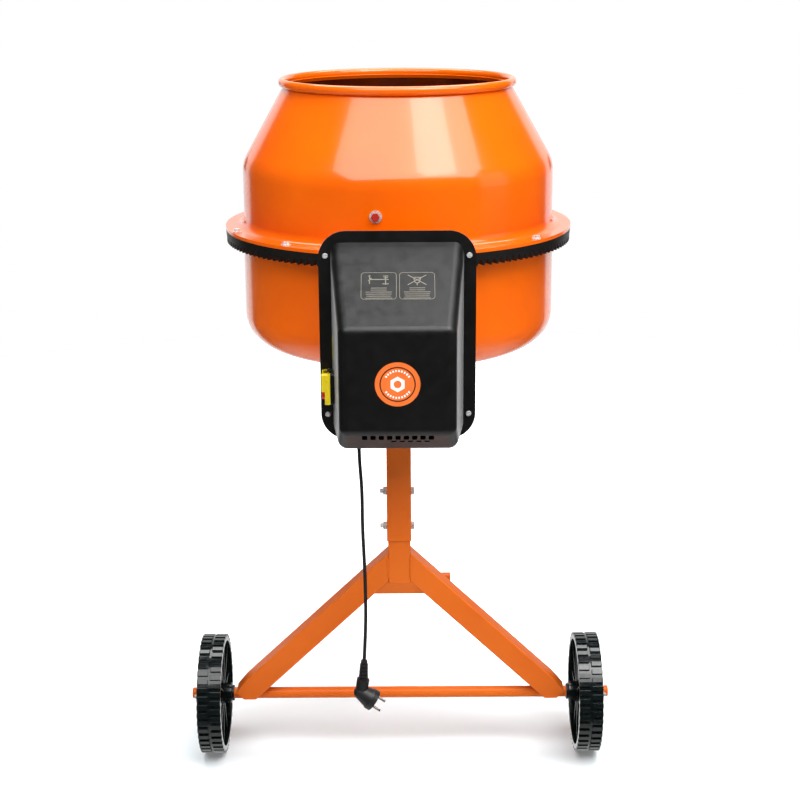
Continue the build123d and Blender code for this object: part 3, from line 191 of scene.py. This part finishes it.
def drum_inside_shade_mask(tree):
    """1 on surfaces that look toward the drum's axis, below its rolled rim: where the painted shade
    goes.
    """
    place = tree.nodes.new("ShaderNodeTexCoord")
    spot = tree.nodes.new("ShaderNodeSeparateXYZ")
    look = tree.nodes.new("ShaderNodeSeparateXYZ")
    tree.links.new(place.outputs["Object"], spot.inputs["Vector"])
    tree.links.new(place.outputs["Normal"], look.inputs["Vector"])
    along_x = math_node(tree, "MULTIPLY", spot.outputs["X"], look.outputs["X"])
    along_y = math_node(tree, "MULTIPLY", spot.outputs["Y"], look.outputs["Y"])
    inward = math_node(tree, "LESS_THAN", math_node(tree, "ADD", along_x, along_y), INWARD)
    below_rim = math_node(tree, "LESS_THAN", spot.outputs["Z"], INSIDE_TOP_Z)
    return math_node(tree, "MULTIPLY", inward, below_rim)


def orange_paint(name, colour, clear, specular, inside_shade=None):
    """Powder coat with orange peel and a clear top; the last argument, if given, is a painted shade
    colour for surfaces within the drum, standing in for the shade that falls there.
    """
    tree, shader = new_material(name)
    red, green, blue = colour
    deep = (red * 0.94, green * 0.90, blue)
    light = (min(1.0, red * 1.04), green * 1.08, blue * 1.2)
    shade = blend_colours(tree, object_noise(tree, 5.0, detail=3.0), deep, light, 0.35, 0.65)
    # painted shade: inside the drum, below the rim, the coat's colour gives way to a darker one that
    # stands in for the shade there
    if inside_shade:
        mix = tree.nodes.new("ShaderNodeMix")
        mix.data_type = "RGBA"
        tree.links.new(drum_inside_shade_mask(tree), mix.inputs["Factor"])
        tree.links.new(shade, mix.inputs["A"])
        painted_inside_shade = blend_colours(tree, object_noise(tree, 30.0), scaled(inside_shade, 0.7), inside_shade)
        tree.links.new(painted_inside_shade, mix.inputs["B"])
        shade = mix.outputs["Result"]
    tree.links.new(shade, shader.inputs["Base Color"])
    tree.links.new(spread(tree, object_noise(tree, 14.0), 0.17, 0.24), shader.inputs["Roughness"])
    add_bump(tree, shader, object_noise(tree, 420.0, detail=1.0), 0.035, 0.12 * MM)
    add_bump(tree, shader, object_noise(tree, 30.0, detail=1.0), 0.03, 0.4 * MM)
    shader.inputs["Coat Weight"].default_value = clear
    shader.inputs["Coat Roughness"].default_value = CLEAR_ROUGHNESS
    shader.inputs["Specular IOR Level"].default_value = specular


def grained_plastic(name, colour, rough, sheen=0.0):
    """Moulded plastic with a fine spark-eroded grain."""
    tree, shader = new_material(name)
    shade = blend_colours(tree, object_noise(tree, 18.0), scaled(colour, 0.86), scaled(colour, 1.15))
    tree.links.new(shade, shader.inputs["Base Color"])
    patches = object_noise(tree, 55.0)
    tree.links.new(spread(tree, patches, rough - 0.05, rough + 0.07), shader.inputs["Roughness"])
    add_bump(tree, shader, object_cells(tree, 900.0), 0.10, 0.10 * MM)
    add_bump(tree, shader, object_noise(tree, 12.0, detail=0.0), 0.04, 0.8 * MM)
    shader.inputs["Specular IOR Level"].default_value = 0.45
    shader.inputs["Sheen Weight"].default_value = sheen
    shader.inputs["Sheen Roughness"].default_value = 0.25


def brushed(name, colour, rough, stretch):
    """Metal with fine lines across the axis that stretch scales up most."""
    tree, shader = new_material(name)
    lines = object_noise(tree, 120.0, detail=6.0, stretch=stretch)
    shade = blend_colours(tree, lines, scaled(colour, 0.82), scaled(colour, 1.12))
    tree.links.new(shade, shader.inputs["Base Color"])
    tree.links.new(spread(tree, lines, rough - 0.07, rough + 0.09), shader.inputs["Roughness"])
    add_bump(tree, shader, lines, 0.08, 0.08 * MM)
    shader.inputs["Metallic"].default_value = 1.0


def cast_iron(name):
    """Black-painted cast iron with a rough skin."""
    tree, shader = new_material(name)
    skin = object_noise(tree, 350.0, detail=6.0, roughness=0.65)
    shade = blend_colours(tree, skin, (0.004, 0.0035, 0.003), (0.013, 0.011, 0.010), last=0.75)
    tree.links.new(shade, shader.inputs["Base Color"])
    tree.links.new(spread(tree, skin, 0.34, 0.55), shader.inputs["Roughness"])
    add_bump(tree, shader, skin, 0.35, 0.25 * MM)
    shader.inputs["Specular IOR Level"].default_value = 0.32


def zinc(name):
    """Bright zinc plating with the faint spangle of small hardware."""
    tree, shader = new_material(name)
    spangle = object_cells(tree, 500.0)
    shade = blend_colours(tree, spangle, (0.70, 0.70, 0.69), (0.93, 0.93, 0.92), 0.0, 0.8)
    tree.links.new(shade, shader.inputs["Base Color"])
    tree.links.new(spread(tree, object_noise(tree, 260.0), 0.20, 0.34), shader.inputs["Roughness"])
    add_bump(tree, shader, object_noise(tree, 700.0), 0.10, 0.1 * MM)
    shader.inputs["Metallic"].default_value = 0.55


# the drum's coat, with a darker colour painted inside the drum as shade
orange_paint(
    "drum_paint", (0.87, 0.126, 0.0005), clear=0.5, specular=0.4, inside_shade=(0.10, 0.012, 0.0018)
)
orange_paint("orange_paint", (0.64, 0.122, 0.011), clear=0.03, specular=0.12)
cast_iron("black_iron")
zinc("zinc")
brushed("dark_steel", (0.32, 0.32, 0.33), 0.32, stretch=(1, 1, 30))
brushed("nickel", (0.72, 0.70, 0.66), 0.18, stretch=(1, 1, 12))
grained_plastic("black_plastic", (0.0030, 0.0030, 0.0027), 0.38, sheen=0.3)
grained_plastic("grey_plastic", (0.42, 0.42, 0.40), 0.5)
varied("black_steel", (0.012, 0.011, 0.011), 0.38, bump=0.08, fine=500.0)
varied("alloy", (0.55, 0.55, 0.56), 0.48, metallic=1.0, bump=0.25, fine=420.0)
varied("bronze", (0.50, 0.30, 0.10), 0.36, metallic=1.0, bump=0.12)
varied("red_rubber", (0.42, 0.018, 0.010), 0.42, bump=0.15, tint=0.12)
varied("black_rubber", (0.011, 0.011, 0.011), 0.46, bump=0.16, fine=700.0)
varied("wheel_plastic", (0.0035, 0.006, 0.006), 0.15, fine=260.0, tint=0.2, clear=0.1)
varied("yellow_plastic", (0.93, 0.70, 0.004), 0.30)
varied("red_plastic", (0.60, 0.012, 0.008), 0.26)
varied("green_plastic", (0.01, 0.24, 0.05), 0.30)
varied("sticker_orange", (0.82, 0.16, 0.022), 0.33, bump=0.02, tint=0.03, clear=0.3)
varied("sticker_dark", (0.05, 0.006, 0.003), 0.4, bump=0.02)
varied("sticker_white", (0.86, 0.84, 0.80), 0.4, bump=0.02, tint=0.02)
varied("print_beige", (0.19, 0.17, 0.135), 0.5, bump=0.02)
varied("label_yellow", (0.42, 0.36, 0.02), 0.45, bump=0.03)

slots = {part["node"]: part["material_slot"] for part in frame["record"]["subparts"]}
slots["drum_upper"] = slots["drum_lower"] = "drum_paint"
slots["blade_bolts"] = "red_rubber"
slots["blade_seals"] = "zinc"


def coat(obj, finish):
    obj.data.materials.clear()
    obj.data.materials.append(finishes[finish])


# ---- the CAD nodes: finishes, eased edges -------------------------------------------------------
edges_by_width = {
    0.3 * MM: ("axle_retainers", "tilt_washers", "motor_standoffs", "thrust_washer"),
    0.35 * MM: ("ring_gear", "pinion"),
    0.4 * MM: (
        "lock_disc", "switch_box", "cable_gland", "capacitor", "cover_screws", "motor_rotor",
    ),
    0.5 * MM: (
        "motor_plate", "post_bolts", "plate_bolts", "hub_bolts", "blade_bolts", "stretcher_bolts",
        "wheel_left", "wheel_right", "driven_pulley", "motor_body", "axle_collars",
    ),
    0.6 * MM: (
        "upper_post", "lower_post", "leg_left", "leg_right", "stretcher", "far_post", "far_foot",
        "yoke_base", "spindle_end_nut", "blade_near", "blade_far", "drum_hub", "far_spindle",
    ),
    0.8 * MM: ("leg_gusset", "near_housing", "far_housing", "handwheel"),
    1.2 * MM: ("yoke_arm_near", "yoke_arm_far"),
}
SHARP_ANGLE = 38


def ease_edges(obj, width):
    weld = obj.modifiers.new("weld", "WELD")
    weld.merge_threshold = 0.01 * MM
    bevel = obj.modifiers.new("bevel", "BEVEL")
    bevel.width = width
    bevel.segments = 2
    bevel.limit_method = "ANGLE"
    bevel.angle_limit = math.radians(SHARP_ANGLE)
    bevel.use_clamp_overlap = True
    bevel.harden_normals = False
    normals = obj.modifiers.new("normals", "WEIGHTED_NORMAL")
    normals.keep_sharp = False
    normals.weight = 80


for name, node in nodes.items():
    coat(node, slots[name])
for width, names in edges_by_width.items():
    for name in names:
        ease_edges(nodes[name], width)


# ---- new pieces: helpers ------------------------------------------------------------------------
def new_object(name, data):
    obj = bpy.data.objects.new(name, data)
    bpy.context.scene.collection.objects.link(obj)
    return obj


def add_piece(name, data, finish, body):
    """A piece from a mesh or a curve that rides a body."""
    obj = new_object(name, data)
    coat(obj, finish)
    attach(obj, body)
    return obj


def circle_points(radius, count=96):
    turns = [2 * math.pi * i / count for i in range(count)]
    return [(radius * math.cos(turn), radius * math.sin(turn)) for turn in turns]


def rounded_rect(width, height, radius, steps=8):
    points = []
    for quarter, (sx, sy) in enumerate(((1, 1), (-1, 1), (-1, -1), (1, -1))):
        cx = sx * (width / 2 - radius)
        cy = sy * (height / 2 - radius)
        for i in range(steps + 1):
            a = math.radians(90 * quarter + 90 * i / steps)
            points.append((cx + radius * math.cos(a), cy + radius * math.sin(a)))
    return points


def facing(origin, x_dir, normal):
    """Matrix that lays a flat drawing on a face."""
    x = Vector(x_dir).normalized()
    z = Vector(normal).normalized()
    y = z.cross(x)
    return Matrix.Translation(Vector(origin)) @ Matrix((x, y, z)).transposed().to_4x4()


def raised(place, level):
    return place @ Matrix.Translation((0, 0, level))


def flat_plate(name, outline, place, thick, finish, hole=None):
    """Thin plate on the motor cover with an outline in its own plane, which place lays on a face."""
    bm = bmesh.new()
    outer = [bm.verts.new((x, y, 0)) for x, y in outline]
    if hole:
        inner = [bm.verts.new((x, y, 0)) for x, y in hole]
        for i in range(len(outer)):
            j = (i + 1) % len(outer)
            bm.faces.new((outer[i], outer[j], inner[j], inner[i]))
    else:
        bm.faces.new(outer)
    bmesh.ops.recalc_face_normals(bm, faces=bm.faces)
    for face in bm.faces:
        if face.normal.z < 0:
            face.normal_flip()
    made = bmesh.ops.extrude_face_region(bm, geom=list(bm.faces))
    lifted = [item for item in made["geom"] if isinstance(item, bmesh.types.BMVert)]
    bmesh.ops.translate(bm, verts=lifted, vec=(0, 0, thick))
    bmesh.ops.recalc_face_normals(bm, faces=bm.faces)
    bm.transform(place)
    mesh = bpy.data.meshes.new(name)
    bm.to_mesh(mesh)
    bm.free()
    add_piece(name, mesh, finish, "stand")


def flat_marks(name, marks, place, thick, finish):
    """Printed marks on the motor cover: four flat corners each, thickened along their normal."""
    verts = [tuple(place @ corner) for mark in marks for corner in mark]
    faces = [tuple(range(4 * i, 4 * i + 4)) for i in range(len(marks))]
    mesh = bpy.data.meshes.new(name)
    mesh.from_pydata(verts, [], faces)
    mesh.update()
    obj = add_piece(name, mesh, finish, "stand")
    solid = obj.modifiers.new("solid", "SOLIDIFY")
    solid.thickness = thick
    solid.offset = 1.0


# ---- round sticker on the motor cover -----------------------------------------------------------
NOSE_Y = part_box("motor_cover")[0][1]
STICKER_Z = 0.728
STICKER_R = 36.5 * MM
STICKER_T = 0.12 * MM
RING_R = 29.0 * MM
RING_HOLE_R = 27.0 * MM
RING_T = 0.06 * MM
MARK_T = 0.07 * MM
nose_face = facing((0, NOSE_Y - 0.02 * MM, STICKER_Z), (1, 0, 0), (0, -1, 0))
sticker_face = raised(nose_face, STICKER_T)

flat_plate("sticker_disc", circle_points(STICKER_R), nose_face, STICKER_T, "sticker_orange")
flat_plate(
    "sticker_ring", circle_points(RING_R), sticker_face, RING_T, "sticker_dark",
    hole=circle_points(RING_HOLE_R),
)

DASHES = 10
DASH_R = 22.3 * MM
DASH_W = 2.6 * MM
DASH_H = 3.4 * MM


def arc_dashes(name, first, last):
    """Short strokes along an arc, in place of any lettering."""
    dashes = []
    for i in range(DASHES):
        a = math.radians(first + (last - first) * i / (DASHES - 1))
        out = Vector((math.cos(a), math.sin(a), 0))
        side = Vector((-math.sin(a), math.cos(a), 0))
        dashes.append([
            out * (DASH_R + up * DASH_H / 2) + side * across * DASH_W / 2
            for across, up in ((-1, -1), (1, -1), (1, 1), (-1, 1))
        ])
    flat_marks(name, dashes, raised(sticker_face, MARK_T), RING_T, "sticker_white")


arc_dashes("sticker_dashes_top", 145, 35)
arc_dashes("sticker_dashes_low", 215, 325)

NUT_R = 13.0 * MM
NUT_HOLE_R = 6.2 * MM
NUT_STEPS = 8


def nut_outline():
    """A hexagon with extra points along its sides, so that a round hole has as many points."""
    angles = [math.radians(60 * i + 30) for i in range(6)]
    corners = [NUT_R * Vector((math.cos(a), math.sin(a))) for a in angles]
    return [
        tuple(corners[i].lerp(corners[(i + 1) % 6], k / NUT_STEPS))
        for i in range(6)
        for k in range(NUT_STEPS)
    ]


flat_plate(
    "sticker_nut_mark", nut_outline(), sticker_face, MARK_T, "sticker_white",
    hole=[tuple(NUT_HOLE_R * Vector(point).normalized()) for point in nut_outline()],
)

# ---- two line pictures on the cover's sloping face ----------------------------------------------
FLANGE_T = 4 * MM
COVER_FACE_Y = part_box("motor_plate")[0][1] - FLANGE_T
BODY_TOP = 0.932
FOLD_Z = 0.817
PICTURE_DROP = 58 * MM
PICTURE_W = 57.5 * MM
PICTURE_H = 55.0 * MM
PICTURE_CORNER = 6.0 * MM
PICTURE_INNER_CORNER = 5.3 * MM
PICTURE_T = 0.12 * MM
FRAME_W = 0.75 * MM
slope = Vector((0, NOSE_Y - COVER_FACE_Y, FOLD_Z - BODY_TOP))
slope_normal = Vector((0, slope.z, -slope.y))


def on_slope(x, drop):
    """Point on the cover's sloping face, drop metres of height below its top edge."""
    return Vector((x, COVER_FACE_Y, BODY_TOP)) + slope * drop / (BODY_TOP - FOLD_Z)


def stroke(start, end, width):
    """The corners of a straight stroke."""
    s, e = Vector((*start, 0)), Vector((*end, 0))
    side = (e - s).normalized().cross(Vector((0, 0, 1))) * width / 2
    return [s + side, e + side, e - side, s - side]


def drawing(lines, width):
    """Strokes of one width; each line is x, y, x, y in millimetres."""
    return [stroke((a * MM, b * MM), (c * MM, d * MM), width) for a, b, c, d in lines]


RULES = 6
RULE_TOP = -4.5 * MM
RULE_STEP = 4.1 * MM
RULE_W = 1.1 * MM


def rules():
    """Plain rules of uneven length, the first two shorter, in place of small print."""
    rng = random.Random(RULES)
    strokes = []
    for row in range(RULES):
        y = RULE_TOP - RULE_STEP * row
        half = (23.0 if row > 1 else 13.0) * MM * rng.uniform(0.86, 1.0)
        strokes.append(stroke((-half, y), (half, y), RULE_W))
    return strokes


def picture(name, x, strokes):
    """A framed line drawing with no text, printed on the sloping face."""
    place = raised(facing(on_slope(x, PICTURE_DROP), (1, 0, 0), slope_normal), 0.03 * MM)
    outer = rounded_rect(PICTURE_W, PICTURE_H, PICTURE_CORNER)
    inner = rounded_rect(PICTURE_W - 2 * FRAME_W, PICTURE_H - 2 * FRAME_W, PICTURE_INNER_CORNER)
    flat_plate(name + "_frame", outer, place, PICTURE_T, "print_beige", hole=inner)
    flat_marks(name + "_lines", strokes, raised(place, 0.02 * MM), PICTURE_T, "print_beige")


bench = [
    (-17, 20, -13, 20), (-15, 22, -15, 4), (-15, 13, 16, 13), (11, 21, 11, 2), (7, 20, 15, 20),
    (6, 4, 16, 4), (-17, 10, -12, 16), (8, 16, 15, 17),
]
crossed_bucket = [
    (-15, 22, 15, 2), (-15, 2, 15, 22), (-6, 17, 6, 17), (-6, 17, -3, 6), (6, 17, 3, 6),
    (-3, 6, 3, 6), (0, 6, 0, 1),
]
picture("picture_left", -29.7 * MM, drawing(bench, 1.5 * MM) + rules())
picture("picture_right", 32.2 * MM, drawing(crossed_bucket, 1.4 * MM) + rules())

# ---- narrow label on the cover's left side wall -------------------------------------------------
COVER_HALF_W = 110 * MM
SIDE_TAPER = 16 * MM
LABEL_Z = 0.757
LABEL_SETBACK = 11 * MM
LABEL_W = 12 * MM
LABEL_H = 42 * MM
LABEL_T = 0.35 * MM
cover_depth = COVER_FACE_Y - NOSE_Y
side_normal = (-cover_depth, -SIDE_TAPER, 0)
side_along = Vector((SIDE_TAPER, -cover_depth, 0)).normalized()
label_spot = Vector((-COVER_HALF_W, COVER_FACE_Y, LABEL_Z)) + side_along * LABEL_SETBACK
label_place = raised(facing(label_spot, side_along, side_normal), 0.05 * MM)
flat_plate(
    "side_label", rounded_rect(LABEL_W, LABEL_H, 1.5 * MM), label_place, LABEL_T, "label_yellow"
)

# ---- mains lead ---------------------------------------------------------------------------------
CORD_Y = -0.455
CORD_D = 6.0 * MM
cord_route = [
    (-0.0660, CORD_Y, 0.612),
    (-0.0660, CORD_Y, 0.577),
    (-0.0616, CORD_Y, 0.518),
    (-0.0620, CORD_Y, 0.452),
    (-0.0590, CORD_Y, 0.378),
    (-0.0578, CORD_Y, 0.308),
    (-0.0593, CORD_Y, 0.251),
    (-0.0624, CORD_Y, 0.198),
]
curve = bpy.data.curves.new("mains_lead", "CURVE")
curve.dimensions = "3D"
curve.bevel_depth = CORD_D / 2
curve.bevel_resolution = 6
curve.resolution_u = 24
curve.use_fill_caps = True
spline = curve.splines.new("NURBS")
spline.points.add(len(cord_route) - 1)
for point, place in zip(spline.points, cord_route):
    point.co = (*place, 1.0)
spline.order_u = 3
spline.use_endpoint_u = True
lead = add_piece("mains_lead", curve, "black_rubber", "stand")
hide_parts("mains_cable")

# ---- weld beads ---------------------------------------------------------------------------------
BEAD_STEP = 1.1 * MM
BEAD_SIDES = 10


def weld_bead(name, start, end, radius, seed, body="stand"):
    """A rippled weld bead along a seam, thinner at its ends."""
    rng = random.Random(seed)
    start, end = Vector(start), Vector(end)
    run = end - start
    along = run.normalized()
    side = along.orthogonal().normalized()
    lift = along.cross(side)
    rings = max(6, int(run.length / BEAD_STEP))
    turns = [2 * math.pi * k / BEAD_SIDES for k in range(BEAD_SIDES)]
    verts, faces = [], []
    wander = 0.0
    for i in range(rings + 1):
        t = i / rings
        wander = 0.9 * (wander + rng.uniform(-0.12, 0.12))
        ripple = 0.80 + 0.16 * abs(math.sin(i * 1.35)) + 0.10 * wander
        taper = min(1.0, (min(t, 1 - t) * rings + 0.5) / 2.5)
        centre = start + run * t + side * (wander * radius * 0.3)
        for a in turns:
            out = side * math.cos(a) + lift * math.sin(a)
            verts.append(tuple(centre + out * radius * ripple * taper))
    for i in range(rings):
        near, far = i * BEAD_SIDES, (i + 1) * BEAD_SIDES
        for k in range(BEAD_SIDES):
            n = (k + 1) % BEAD_SIDES
            faces.append((near + k, near + n, far + n, far + k))
    faces.append(tuple(range(BEAD_SIDES))[::-1])
    faces.append(tuple(rings * BEAD_SIDES + k for k in range(BEAD_SIDES)))
    mesh = bpy.data.meshes.new(name)
    mesh.from_pydata(verts, [], faces)
    mesh.update()
    mesh.polygons.foreach_set("use_smooth", [True] * len(mesh.polygons))
    add_piece(name, mesh, "orange_paint", body)


# each bead's centre stands a fraction of a millimetre off the corner that it fills
leg_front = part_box("leg_right")[0][1]
post_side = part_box("lower_post")[1][0]
POST_SEAM = (0.334, 0.374)
POST_BEAD_R = 2.1 * MM
for side in (-1, 1):
    x = side * (post_side + 0.6 * MM)
    y = leg_front + 0.4 * MM
    ends = [(x, y, z) for z in POST_SEAM]
    weld_bead(f"weld_post_{side + 1}", *ends, POST_BEAD_R, seed=3 + side)

GUSSET_SEAM = (-19 * MM, 19 * MM)
GUSSET_SEAM_Z = 0.3268
GUSSET_BEAD_R = 1.6 * MM
ends = [(x, leg_front + 0.8 * MM, GUSSET_SEAM_Z) for x in GUSSET_SEAM]
weld_bead("weld_gusset", *ends, GUSSET_BEAD_R, seed=9)

SEAM_INSET = 2 * MM
STRETCHER_BEAD_R = 2.0 * MM
low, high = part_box("stretcher")
for side in (-1, 1):
    x = side * high[0]
    y = low[1] + 0.5 * MM
    ends = [(x, y, z) for z in (low[2] + SEAM_INSET, high[2] - SEAM_INSET)]
    weld_bead(f"weld_stretcher_{side + 1}", *ends, STRETCHER_BEAD_R, seed=12 + side)

FOOT_BEAD_R = 2.2 * MM
low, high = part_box("far_foot")
far_post_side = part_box("far_post")[1][0]
for side in (-1, 1):
    x = side * far_post_side
    z = high[2] + 0.3 * MM
    ends = [(x, y, z) for y in (low[1] + SEAM_INSET, high[1] - SEAM_INSET)]
    weld_bead(f"weld_foot_{side + 1}", *ends, FOOT_BEAD_R, seed=20 + side)

ARM_FACE_SEAM = (-23 * MM, 23 * MM)
ARM_FACE_BEAD_R = 2.4 * MM
ARM_EDGE_X = 25.4 * MM
ARM_EDGE_INSET = 1 * MM
ARM_EDGE_BEAD_R = 2.0 * MM
yoke_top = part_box("yoke_base")[1][2]
for name, side in (("near", -1), ("far", 1)):
    low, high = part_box(f"yoke_arm_{name}")
    y = (high[1] if side < 0 else low[1]) - side * 0.4 * MM
    ends = [(x, y, yoke_top + 0.4 * MM) for x in ARM_FACE_SEAM]
    weld_bead(f"weld_yoke_{name}", *ends, ARM_FACE_BEAD_R, seed=30 + side, body="yoke")
    for edge in (-1, 1):
        x = edge * ARM_EDGE_X
        z = yoke_top + 0.2 * MM
        ends = [(x, y, z) for y in (low[1] + ARM_EDGE_INSET, high[1] - ARM_EDGE_INSET)]
        piece = f"weld_yoke_{name}_{edge + 1}"
        weld_bead(piece, *ends, ARM_EDGE_BEAD_R, seed=40 + edge, body="yoke")

# ---- floor --------------------------------------------------------------------------------------
FLOOR_R = 2.8
FLOOR_SIDES = 128
FLOOR_DROP = 0.5 * MM
FLOOR_WHITE = (0.75, 0.80, 0.82)
FLOOR_GLOW = 0.10
FADE_CENTRE = (0, -0.65, 0)
FADE_START = 0.3
FADE_END = 1.0


def floor_paint_with_glow(name):
    """White paint that melts into the backdrop: a painted glow, seen only by the camera, grows away
    from the object, so shadows show near the object only.
    """
    tree, shader = new_material(name)
    shader.inputs["Base Color"].default_value = (*FLOOR_WHITE, 1)
    shader.inputs["Roughness"].default_value = 0.6
    shader.inputs["Specular IOR Level"].default_value = 0.1
    # painted glow: the floor glows to the camera, faintly near the object and fully further away
    distance = tree.nodes.new("ShaderNodeVectorMath")
    distance.operation = "DISTANCE"
    distance.inputs[1].default_value = FADE_CENTRE
    tree.links.new(object_place(tree), distance.inputs[0])
    fade = smooth_step(tree, distance.outputs["Value"], FADE_START, FADE_END, low=FLOOR_GLOW)
    path = tree.nodes.new("ShaderNodeLightPath")
    glow = math_node(tree, "MULTIPLY", fade, path.outputs["Is Camera Ray"])
    shader.inputs["Emission Color"].default_value = (1, 1, 1, 1)
    tree.links.new(glow, shader.inputs["Emission Strength"])


floor_mesh = bpy.data.meshes.new("floor")
floor_outline = [(x, y, 0) for x, y in circle_points(FLOOR_R, FLOOR_SIDES)]
floor_mesh.from_pydata(floor_outline, [], [tuple(range(FLOOR_SIDES))])
floor_paint_with_glow("floor_white")
floor = new_object("floor", floor_mesh)
coat(floor, "floor_white")
floor.location.z = -FLOOR_DROP
floor.visible_glossy = False

# ---- light --------------------------------------------------------------------------------------
# strengths: what the camera sees, what lights matt surfaces, and the three parts of the room
SEEN = 1.0
AMBIENT = 0.17
DARK = 0.04
BACKDROP = 1.0
GROUND = 0.9
# places, as parts of a direction of length 1: Y for the backdrop, Z for the ground, X and Z for
# the middle of a flag, and the distance from that middle over which the flag ends
BACKDROP_FADE = (0.74, 0.80)
GROUND_FADE = (-0.5, -0.8)
FLAG_X = 0.41
FLAG_Z = -0.03
FLAG_FADE = (0.05, 0.08)


def light_world(tree):
    """The room that gloss reflects: a bright backdrop behind the object with a dark flag on each
    side, bright ground below and dark elsewhere. Matt surfaces and the camera see plain white."""
    place = tree.nodes.new("ShaderNodeTexCoord")
    parts = tree.nodes.new("ShaderNodeSeparateXYZ")
    tree.links.new(place.outputs["Generated"], parts.inputs["Vector"])
    path = tree.nodes.new("ShaderNodeLightPath")
    across = math_node(tree, "ABSOLUTE", parts.outputs["X"])
    beside = math_node(tree, "ABSOLUTE", math_node(tree, "SUBTRACT", across, FLAG_X))
    level = math_node(tree, "ABSOLUTE", math_node(tree, "SUBTRACT", parts.outputs["Z"], FLAG_Z))
    off_flags = smooth_step(tree, math_node(tree, "MAXIMUM", beside, level), *FLAG_FADE)
    behind = smooth_step(tree, parts.outputs["Y"], *BACKDROP_FADE)
    below = smooth_step(tree, parts.outputs["Z"], *GROUND_FADE)
    room = blend_values(tree, math_node(tree, "MULTIPLY", behind, off_flags), DARK, BACKDROP)
    room = blend_values(tree, below, room, GROUND)
    glossy = blend_values(tree, path.outputs["Is Glossy Ray"], AMBIENT, room)
    total = blend_values(tree, path.outputs["Is Camera Ray"], glossy, SEEN)
    background = tree.nodes["Background"]
    background.inputs["Color"].default_value = (1, 1, 1, 1)
    tree.links.new(total, background.inputs["Strength"])


world = bpy.data.worlds.new("studio")
bpy.context.scene.world = world
world.use_nodes = True
light_world(world.node_tree)


def softbox(name, place, target, width, depth, power):
    """An area light of a size in metres and a power in watts, turned to a target."""
    data = bpy.data.lights.new(name, "AREA")
    data.energy = power
    data.shape = "RECTANGLE"
    data.size = width
    data.size_y = depth
    obj = new_object(name, data)
    obj.location = place
    obj.rotation_mode = "QUATERNION"
    obj.rotation_quaternion = (Vector(target) - Vector(place)).to_track_quat("-Z", "Y")


softbox("overhead", (0.45, -2.3, 3.8), (0, -0.3, 0.9), 7.0, 2.7, 270)
softbox("strip", (1.05, -1.5, 3.5), (0, 0, 0.9), 1.3, 2.0, 42)
softbox("right_fill", (3.6, -1.2, 1.6), (0, 0, 0.8), 1.6, 2.4, 8)
softbox("top", (0, 0.9, 3.4), (0, 0, 0.9), 3.6, 1.5, 110)

# ---- camera -------------------------------------------------------------------------------------
CAMERA_PLACE = (0.014, -2.961, 1.404)
PITCH = 16.2
ROLL = -0.3
camera_data = bpy.data.cameras.new("camera")
camera_data.sensor_width = 36.0
camera_data.lens = 70.79
camera_data.shift_x = -0.0081
camera_data.clip_end = 200.0
camera = new_object("camera", camera_data)
turn = Matrix.Rotation(math.radians(90 - PITCH), 4, "X") @ Matrix.Rotation(math.radians(ROLL), 4, "Z")
camera.location = CAMERA_PLACE
camera.rotation_euler = turn.to_euler()
bpy.context.scene.camera = camera
bpy.context.scene.view_settings.view_transform = "Standard"
